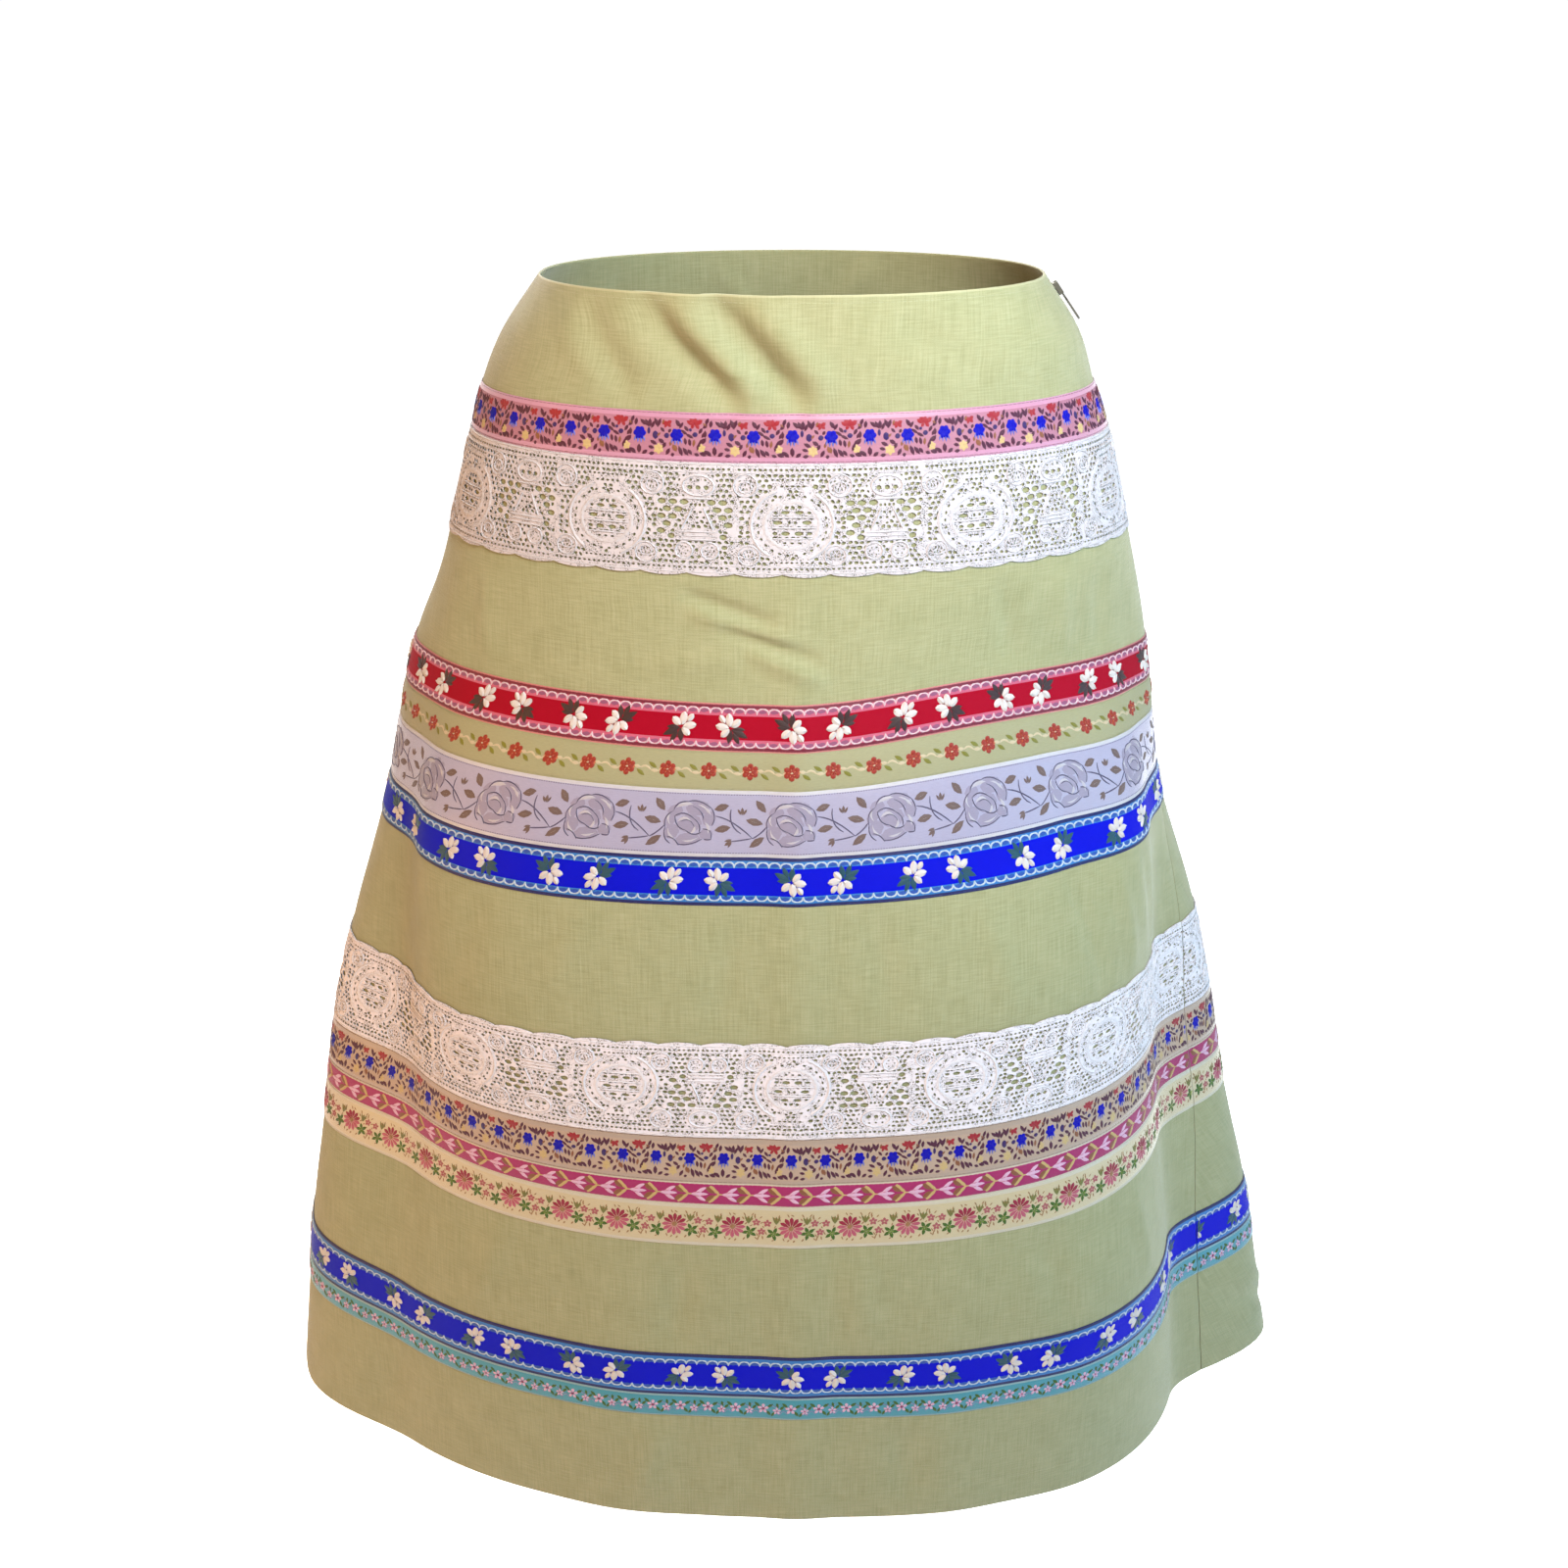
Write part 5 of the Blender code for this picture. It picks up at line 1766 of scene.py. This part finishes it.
        return Chart(self.width, (Strokes(LACE_CORD, lines, Shape.LINE, 0.52, 2),
                                  Strokes(LACE_CORD, np.vstack(edges), Shape.LINE, 0.28, 2)))

    @staticmethod
    def oval(shape: Oval, count: int, width: float) -> Array:
        """An oval, given by its middle and half sizes, as short strokes."""
        around = np.arange(count + 1) * 2 * np.pi / count
        px, py = shape[0] + shape[2] * np.cos(around), shape[1] + shape[3] * np.sin(around)
        return straight(table(px[:-1], py[:-1], px[1:], py[1:], width))


@dataclass
class LaceMaker:
    """Lays repeats of the lace sheet along a band."""

    form: SkirtForm
    repeat: LaceRepeat = field(default_factory=LaceRepeat)
    under: float = 0.00032
    face: float = 0.00095
    side_clear: float = 0.2
    cord_sunk: float = 0.1
    cut: tuple[Array, Array, Array] | None = None

    def __post_init__(self) -> None:
        """Cuts the sheet once for every band."""
        self.cut = self.repeat.sheet()

    def make(self, band: Band, half: Half, edge_up: bool) -> None:
        """Makes one band of lace on one half, a medallion at the half's centre, and hides the node that it
        replaces.

        Args:
            band: The band.
            half: The half of the skirt.
            edge_up: Whether the straight edge is the upper one.
        """
        line = BandLine(self.form, half, band)
        scale = band.height / MM / self.repeat.height
        shifts = line.copies(self.repeat.width, 0.0)
        # The lower band takes the lace painted lighter: painted light in place of the light that the upper
        # band gets.
        cotton, cord = (LACE, LACE_CORD) if edge_up else (BRIGHTENED_LOW_LACE, BRIGHTENED_LOW_CORD)
        cloth = self.cloth(cotton, line, shifts, scale, edge_up)
        line.declare(cloth, self.cords(cord, line, shifts, scale, edge_up))

    def cloth(self, cotton: Finish, line: BandLine, shifts: Array, scale: float,
              edge_up: bool) -> Piece:
        """The cut sheet laid along the band again and again, walled round its edges and large holes.

        Args:
            cotton: The finish.
            line: The band on one half.
            shifts: Place of each repeat.
            scale: How much higher than the repeat the band is.
            edge_up: Whether the straight edge is the upper one.

        Returns:
            The cloth.
        """
        band = line.band
        flat, tri, rims = self.cut
        x = (flat[None, :, 0] + shifts[:, None]).reshape(-1)
        y = np.tile(flat[:, 1] * scale, len(shifts))
        drop = band.top + y * MM if edge_up else band.bottom - y * MM
        drop = np.clip(drop, band.top, band.bottom)
        out = (x < line.start) | (x > line.end)
        angle = line.angles(x, drop, self.side_clear)
        triangles, sides = (copied(part, len(flat), len(shifts)) for part in (tri, rims))
        triangles = triangles[~out[triangles].all(1)]
        sides = sides[~out[sides].any(1)]
        if edge_up:
            triangles, sides = triangles[:, ::-1], sides[:, ::-1]
        points = np.vstack([self.form.skin(angle, drop, lift) for lift in (self.face, self.under)])
        a, b = sides.T
        faces = np.vstack([triangles, table(b, a, a + len(x)), table(b, a + len(x), b + len(x))])
        used = np.unique(faces)
        renumber = np.zeros(len(points), int)
        renumber[used] = np.arange(len(used))
        uv = np.tile(np.stack([x, y], -1) * MM, (2, 1))[used]
        return add_piece(f"{band.name}_{line.half.name}_cloth", points[used], renumber[faces],
                         [cotton], uv=uv, crease_angle=40.0)

    def cords(self, cord: Finish, line: BandLine, shifts: Array, scale: float,
              edge_up: bool) -> Piece:
        """The raised cords of the lace.

        Args:
            cord: The finish.
            line: The band on one half.
            shifts: Place of each repeat.
            scale: How much higher than the repeat the band is.
            edge_up: Whether the straight edge is the upper one.

        Returns:
            The cords.
        """
        middle, way = self.repeat.height / 2, -1.0 if edge_up else 1.0
        layers = []
        for layer, start in zip(self.repeat.cords().layers, (0.0, self.repeat.start)):
            rows = layer.rows.copy()
            rows[:, 1:6:2] = (rows[:, 1:6:2] - middle) * scale * way
            rows[:, 0:6:2] += start
            layers.append((replace(layer, finish=cord, rows=rows), shifts))
        maker = StrokeMaker(line, sunk=self.cord_sunk)
        return maker.piece(f"{line.band.name}_{line.half.name}_cords", layers)


@dataclass
class PanelMaker:
    """Makes the front and the back: linen with a facing inside the waist and a turned hem."""

    form: SkirtForm
    columns: int = 170
    row_pitch: float = 0.0052
    fine_pitch: float = 0.0026
    wrinkled: tuple[float, float] = (0.152, 0.214)
    wall: float = 0.0008
    turned: float = 0.0014
    facing: float = 0.040
    hem: float = 0.022
    # Depth of the lighter strip below the waist rim, a painted highlight; also a row mark and the top of the
    # right seam allowance.
    rim: float = 0.0012
    edge: float = 0.0004
    rounding: float = 0.0003
    fold_step: float = 0.0002
    seam_gap: float = 0.00015
    stitch: tuple[float, float, float] = (2.4, 0.4, 0.14)
    stitch_pitch: float = 3.2
    allowance: float = 0.011
    allowance_columns: int = 11
    allowance_gap: float = 0.0001
    allowance_wall: float = 0.0004
    below_zip: float = 0.200
    above_hem: float = 0.001
    stitch_rows: tuple[tuple[float, float], ...] = ((0.002, 0.006), (HEM_DROP - 0.024, HEM_DROP - 0.018))

    @property
    def doubled(self) -> list[float]:
        """Drops of the rows where the cloth's thickness steps, at the facing and the hem."""
        starts = (self.facing, HEM_DROP - self.hem)
        return [start + step for start in starts for step in (0.0, self.fold_step)]

    def levels(self, half: Half) -> Array:
        """Drops of a half's rows: evenly spaced, closer where the front wrinkles, and at each edge.

        Args:
            half: The half of the skirt.

        Returns:
            The drops, from the rim down.
        """
        marks = [0.0, self.edge, self.rim, *self.doubled, HEM_DROP - self.edge, HEM_DROP]
        if half is FRONT:
            marks += np.arange(*self.wrinkled, self.fine_pitch).tolist()
        return np.unique(np.round(np.concatenate([np.arange(0.0, HEM_DROP, self.row_pitch), marks]), 6))

    def make(self, half: Half) -> None:
        """Makes one half, the form's own surface and one inside it, rounded at the edges, and hides the node
        that it replaces.

        Args:
            half: The half of the skirt.
        """
        drops = self.levels(half)
        angle, drop = half.span(self.form, drops, self.seam_gap, self.columns)
        at_edge = (drop < self.fold_step) | (drop > HEM_DROP - self.fold_step)
        depth = self.depth(drop)
        outer = self.form.skin(angle, drop, np.where(at_edge, -self.rounding, 0.0))
        inner = self.form.skin(angle, drop, np.where(at_edge, self.rounding - depth, -depth))
        # Faces of the strip below the waist rim, and the wall's rim faces, take the linen painted lighter as
        # a highlight.
        highlit_rim = np.repeat(drops[1:] <= self.rim + 1e-6, self.columns - 1)
        along = self.form.arc(angle, drop) - self.form.arc(np.full_like(drop, half.centre), drop)
        cloth = add_wall(f"{half.name}_cloth", outer, inner, along, drop, [LINEN, LINEN_RIM_HIGHLIGHT], highlit_rim, rim=1)
        figures = [self.stitches(half)]
        if half is FRONT:
            figures += [self.seam_allowance("right", 0, self.rim),
                        self.seam_allowance("left", 1, self.below_zip)]
        area, width = self.area(outer), float(np.ptp(along[-1]))
        LOG.info("%s cut: %.3f x %.3f m, area %.3f", half.name, width, HEM_DROP + self.hem, area)
        declare(cloth, f"{half.name}_panel", "linen", figures,
                flat=(width, HEM_DROP + self.hem), held="hung", area=area)

    def depth(self, drop: Array) -> Array:
        """Thickness of the cloth at each drop: more where it is turned in at the waist and the hem."""
        doubled = (drop <= self.facing) | (drop >= HEM_DROP - self.hem)
        return np.where(doubled, self.turned, self.wall)

    def seam_allowance(self, side: str, number: int, top: float) -> Piece:
        """The allowances of a side seam pressed open inside, as one strip across the join.

        Args:
            side: Which of the wearer's sides.
            number: 0 for the front's first seam and 1 for its last.
            top: Drop of the strip's upper end.

        Returns:
            The strip.
        """
        end = HEM_DROP - self.above_hem
        drops = np.concatenate([np.arange(top, end, 2 * self.row_pitch), self.doubled, [end]])
        across = np.linspace(-self.allowance, self.allowance, self.allowance_columns)
        drop, x = np.meshgrid(np.unique(drops[drops >= top]), across, indexing="ij")
        angle = self.form.beside(FRONT.seams(self.form, drop)[number], drop, x)
        under = self.depth(drop) + self.allowance_gap
        outer, inner = (self.form.skin(angle, drop, -under - wall) for wall in (0.0, self.allowance_wall))
        return add_wall(f"seam_allowance_{side}", outer, inner, x, drop, [LINEN])

    def area(self, grid: Array) -> float:
        """Area of a grid of points: the lengths of the cross products of each face's first two sides."""
        sides = np.cross(np.diff(grid, axis=1)[:-1], np.diff(grid, axis=0)[:, :-1])
        return float(np.linalg.norm(sides, axis=2).sum())

    def stitches(self, half: Half) -> Piece:
        """The hem's stitch line, and the row below the waist rim that holds the facing.

        Args:
            half: The half of the skirt.

        Returns:
            The stitches.
        """
        length, width, lift = self.stitch
        row = Strokes(SEAM_THREAD, straight([(0.0, 0.0, length, 0.0, width)]), Shape.LINE, lift, 1)
        parts = []
        for top, bottom in self.stitch_rows:
            line = BandLine(self.form, half, Band("stitch", "linen", top, bottom, face=0.0, edge_fall=0.0))
            parts.append(StrokeMaker(line).strips(row, line.steps(self.stitch_pitch)))
        points, faces, uv = joined(parts)
        return add_piece(f"{half.name}_stitches", points, faces, [SEAM_THREAD], uv=uv)


@dataclass
class ZipMaker:
    """Dresses the concealed zip: tape and coil inside the seam, and metal on the slider and tab."""

    form: SkirtForm
    top: float = 0.004
    bottom: float = 0.194
    half_width: float = 11.0
    tape_grid: tuple[int, int] = (48, 19)
    outer: float = -1.85
    inner: float = -2.55
    tooth: float = 1.6
    tooth_pitch: float = 1.25
    tooth_rise: float = 1.15
    tooth_reach: float = 0.5
    tooth_grid: tuple[int, int] = (6, 5)
    coil_start: float = 0.010
    coil_spare: float = 0.012
    weld: float = 0.00001
    bevel: float = 0.00015
    sharp_angle: float = 40.0

    def across(self, x: Array, drop: Array, lift: Array | float) -> Array:
        """Points x millimetres from the wearer's left seam, moved out by a lift in millimetres."""
        seam = FRONT.seams(self.form, drop)[1]
        return self.form.skin(self.form.beside(seam, drop, x * MM), drop, lift * MM)

    def tape(self) -> Piece:
        """The two tapes as one strip.

        Returns:
            The strip.
        """
        rows, columns = self.tape_grid
        drops = np.linspace(self.top, self.bottom, rows)
        sides = np.linspace(-self.half_width, self.half_width, columns)
        drop, x = np.meshgrid(drops, sides, indexing="ij")
        outer, inner = (self.across(x, drop, lift) for lift in (self.outer, self.inner))
        return add_wall("zip_tape_cloth", outer, inner, x * MM, drop, [ZIP_TAPE])

    def coil(self) -> Piece:
        """The closed coil: one small rounded bar across the seam for each turn, a half circle in section.

        Returns:
            The coil.
        """
        count = int((self.bottom - self.top - self.coil_spare) / (self.tooth_pitch * MM))
        start = self.top + self.coil_start + np.arange(count) * self.tooth_pitch * MM
        rows, columns = self.tooth_grid
        around, side = np.linspace(0.0, np.pi, rows), np.linspace(-self.tooth, self.tooth, columns)
        turn, x = np.meshgrid(around, side, indexing="ij")
        swell = np.sqrt(np.maximum(0.0, 1.0 - (np.abs(x) / (self.tooth * 1.15)) ** 4))
        lift = self.inner - self.tooth_rise * np.sin(turn) * swell
        drop = start[:, None, None] + np.cos(turn)[None] * self.tooth_reach * MM
        drop, x, lift = np.broadcast_arrays(drop, x, lift)
        faces = copied(grid_faces(rows, columns), turn.size, count)
        return add_piece("zip_coil_teeth", self.across(x, drop, lift), faces, [ZIP_COIL],
                         uv=np.stack([x * MM, -drop], -1))

    def make(self) -> None:
        flat = (2 * self.half_width * MM, self.bottom - self.top)
        declare(self.tape(), "zip_tape", "zip_tape", [self.coil()],
                flat=flat, held="stretched", rests_on=["front_cloth", "back_cloth"])
        for node in ("zip_slider", "zip_pull"):
            metal = frame["nodes"][node]
            metal.data.materials.clear()
            metal.data.materials.append(ZIP_METAL.material())
            metal.modifiers.new("weld", "WELD").merge_threshold = self.weld
            bevel = metal.modifiers.new("soft edges", "BEVEL")
            bevel.width, bevel.segments, bevel.limit_method = self.bevel, 2, "ANGLE"
            bevel.angle_limit = np.radians(self.sharp_angle)


@dataclass
class Studio:
    """Camera, floor and soft light."""

    eye: tuple[float, float, float] = (-0.0045, -0.95, 0.114)
    tilt: float = 65.0
    lens: float = 36.0
    sensor: float = 36.0
    floor_level: float = -1.05
    floor_half: float = 40.0
    floor_grey: float = 0.93
    floor_roughness: float = 0.9
    floor_glow: float = 0.72
    sky: tuple[float, float, float, float] = (0.02, 0.45, 1.04, 0.34)
    aim: tuple[float, float, float] = (0.0, 0.0, -0.32)

    def camera(self) -> None:
        """A camera as high as the waist and a little above, looking down at the skirt."""
        data = bpy.data.cameras.new("camera")
        data.lens, data.sensor_width, data.sensor_height = self.lens, self.sensor, self.sensor
        data.sensor_fit = "HORIZONTAL"
        eye = put("camera", data)
        eye.location = self.eye
        eye.rotation_euler = (np.radians(self.tilt), 0.0, 0.0)
        bpy.context.scene.camera = eye

    def floor(self) -> None:
        """A plain white floor."""
        half, level = self.floor_half, self.floor_level
        mesh = bpy.data.meshes.new("floor")
        corners = [(-half, -half, level), (half, -half, level), (half, half, level), (-half, half, level)]
        mesh.from_pydata(corners, [], [(0, 1, 2, 3)])
        made = bpy.data.materials.new("studio floor")
        made.use_nodes = True
        graph = Graph(made.node_tree)
        surface = graph.add("ShaderNodeBsdfPrincipled", {
            "Base Color": (self.floor_grey, self.floor_grey, self.floor_grey, 1.0),
            "Roughness": self.floor_roughness,
            "Emission Color": (1.0, 1.0, 1.0, 1.0),
            "Emission Strength": self.floor_glow,
        })
        graph.add("ShaderNodeOutputMaterial", {"Surface": surface.outputs[0]})
        mesh.materials.append(made)
        put("floor", mesh)

    def light(self, name: str, spot: tuple[float, float, float], size: float, watts: float,
              colour: tuple[float, float, float]) -> None:
        """A square softbox aimed at the middle of the skirt.

        Args:
            name: The lamp's name.
            spot: Where it stands.
            size: Length of its side.
            watts: Its power.
            colour: Its colour.
        """
        data = bpy.data.lights.new(name, "AREA")
        data.size, data.energy, data.color = size, watts, colour
        lamp = put(name, data)
        lamp.location = spot
        lamp.rotation_euler = (Vector(self.aim) - Vector(spot)).to_track_quat("-Z", "Y").to_euler()

    def world(self) -> None:
        """A white sky that is bright below the horizon and falls off above it."""
        world = bpy.data.worlds.new("studio")
        world.use_nodes = True
        graph = Graph(world.node_tree)
        aim = graph.add("ShaderNodeTexCoord").outputs["Generated"]
        height = graph.add("ShaderNodeSeparateXYZ", {0: aim}).outputs["Z"]
        glow = graph.add("ShaderNodeMapRange", dict(enumerate((height, *self.sky)))).outputs[0]
        sky = graph.add("ShaderNodeBackground", {"Color": (1.0, 1.0, 1.0, 1.0), "Strength": glow})
        graph.add("ShaderNodeOutputWorld", {"Surface": sky.outputs[0]})
        bpy.context.scene.world = world

    def build(self) -> None:
        """Camera, floor, world and lights."""
        self.camera()
        self.floor()
        self.world()
        bpy.context.scene.view_settings.view_transform = "Standard"
        self.light("front softbox", (0.27, -0.68, 0.45), 0.32, 34.0, (1.0, 0.985, 0.95))
        self.light("left softbox", (-2.1, -0.95, 0.05), 0.8, 70.0, (1.0, 0.43, 0.04))
        self.light("right softbox", (2.2, -0.8, 0.25), 0.9, 67.0, (0.24, 0.66, 1.0))
        self.light("back softbox", (-0.6, 1.5, 0.9), 0.8, 79.0, (1.0, 0.99, 0.98))


class Skirt:
    """The whole skirt."""

    def __init__(self) -> None:
        """Works out the form and lists the bands from the waist down."""
        self.form = SkirtForm()
        flowers = (0.0, 28.0, 65.0, 93.0)
        blooms = (0.0, 29.5, 71.6, 100.5)
        red = flower_chart(128.0, flowers, UMBER, DUSKY, RED_SCALLOP, 6.8, 7.9)
        blue = flower_chart(143.2, blooms, TEAL, BLUE_SQUARE, BLUE_SCALLOP, 6.9, 8.3)
        blue_rows = ((2.0, NAVY), (4.4, BLUE_ZONE), (16.3, BLUE_FIELD), (4.4, BLUE_ZONE), (2.0, NAVY))
        self.bands = (
            Band("ribbon_pink", "ribbon_pink", 0.0602, 0.0863,
                 ((3.0, PINK_SATIN), (20.0, SALMON), (3.1, PINK_SATIN)), posy_chart(1.0), MAUVE_STITCH_AND_SHADOW),
            Band("ribbon_red", "ribbon_red", 0.2195, 0.2470,
                 ((0.9, RED_LINE), (1.8, RED_EDGE), (4.2, RED_ZONE), (13.7, RED_FIELD), (4.2, RED_ZONE),
                  (1.8, RED_EDGE), (0.9, RED_LINE)), red, RED_EDGE),
            Band("braid_sage", "braid_sage", 0.2470, 0.2691, ((22.1, SAGE),), braid_chart(), SAGE),
            Band("ribbon_rose", "ribbon_rose", 0.2691, 0.3079,
                 ((1.9, ROSE_EDGE), (35.0, LILAC), (1.9, ROSE_EDGE)), rose_chart(), ROSE_EDGE),
            Band("ribbon_blue_upper", "ribbon_blue", 0.3079, 0.3370, blue_rows, blue, NAVY),
            Band("ribbon_beige", "ribbon_beige", 0.4849, 0.5168,
                 ((4.0, BEIGE_EDGE), (24.6, BEIGE), (3.3, BEIGE_EDGE)), posy_chart(1.2), TAN_STITCH_AND_SHADOW),
            Band("ribbon_magenta", "ribbon_magenta", 0.5168, 0.5323,
                 ((0.9, GOLD_EDGE), (13.7, MAGENTA), (0.9, GOLD_EDGE)), tulip_chart(), MAGENTA_EDGE),
            Band("ribbon_gold", "ribbon_gold", 0.5323, 0.5616,
                 ((2.4, GOLD_EDGE), (24.5, GOLD), (2.4, GOLD_EDGE)), daisy_chart(), GOLD_EDGE),
            Band("ribbon_blue_lower", "ribbon_blue", 0.6430, 0.6750, blue_rows, blue, NAVY),
            Band("ribbon_turquoise", "ribbon_turquoise", 0.6750, 0.6920,
                 ((1.2, TURQUOISE_EDGE), (14.6, TURQUOISE), (1.2, TURQUOISE_EDGE)), brocade_chart(),
                 TURQUOISE_EDGE),
        )
        self.laces = (
            (Band("lace_upper", "lace", 0.0863, 0.1485, face=0.95, edge_fall=0.0), True),
            (Band("lace_lower", "lace", 0.4218, 0.4849, face=0.95, edge_fall=0.0), False),
        )

    def build(self) -> None:
        """Makes every piece."""
        panels, trimmer, lace = PanelMaker(self.form), Trimmer(self.form), LaceMaker(self.form)
        for half in HALVES:
            panels.make(half)
            for band in self.bands:
                trimmer.make(band, half)
            for band, edge_up in self.laces:
                lace.make(band, half, edge_up)
        ZipMaker(self.form).make()


def report_sizes() -> None:
    total = 0
    for piece in bpy.data.objects:
        if piece.type == "MESH" and piece.name not in frame["nodes"]:
            count = sum(len(face.vertices) - 2 for face in piece.data.polygons)
            total += count
            LOG.info("%s: %d triangles", piece.name, count)
    LOG.info("all pieces: %d triangles", total)


def main() -> None:
    """Builds the skirt and the studio."""
    logging.basicConfig(level=logging.INFO, format="%(message)s")
    Studio().build()
    Skirt().build()
    report_sizes()


if __name__ == "__main__":
    main()
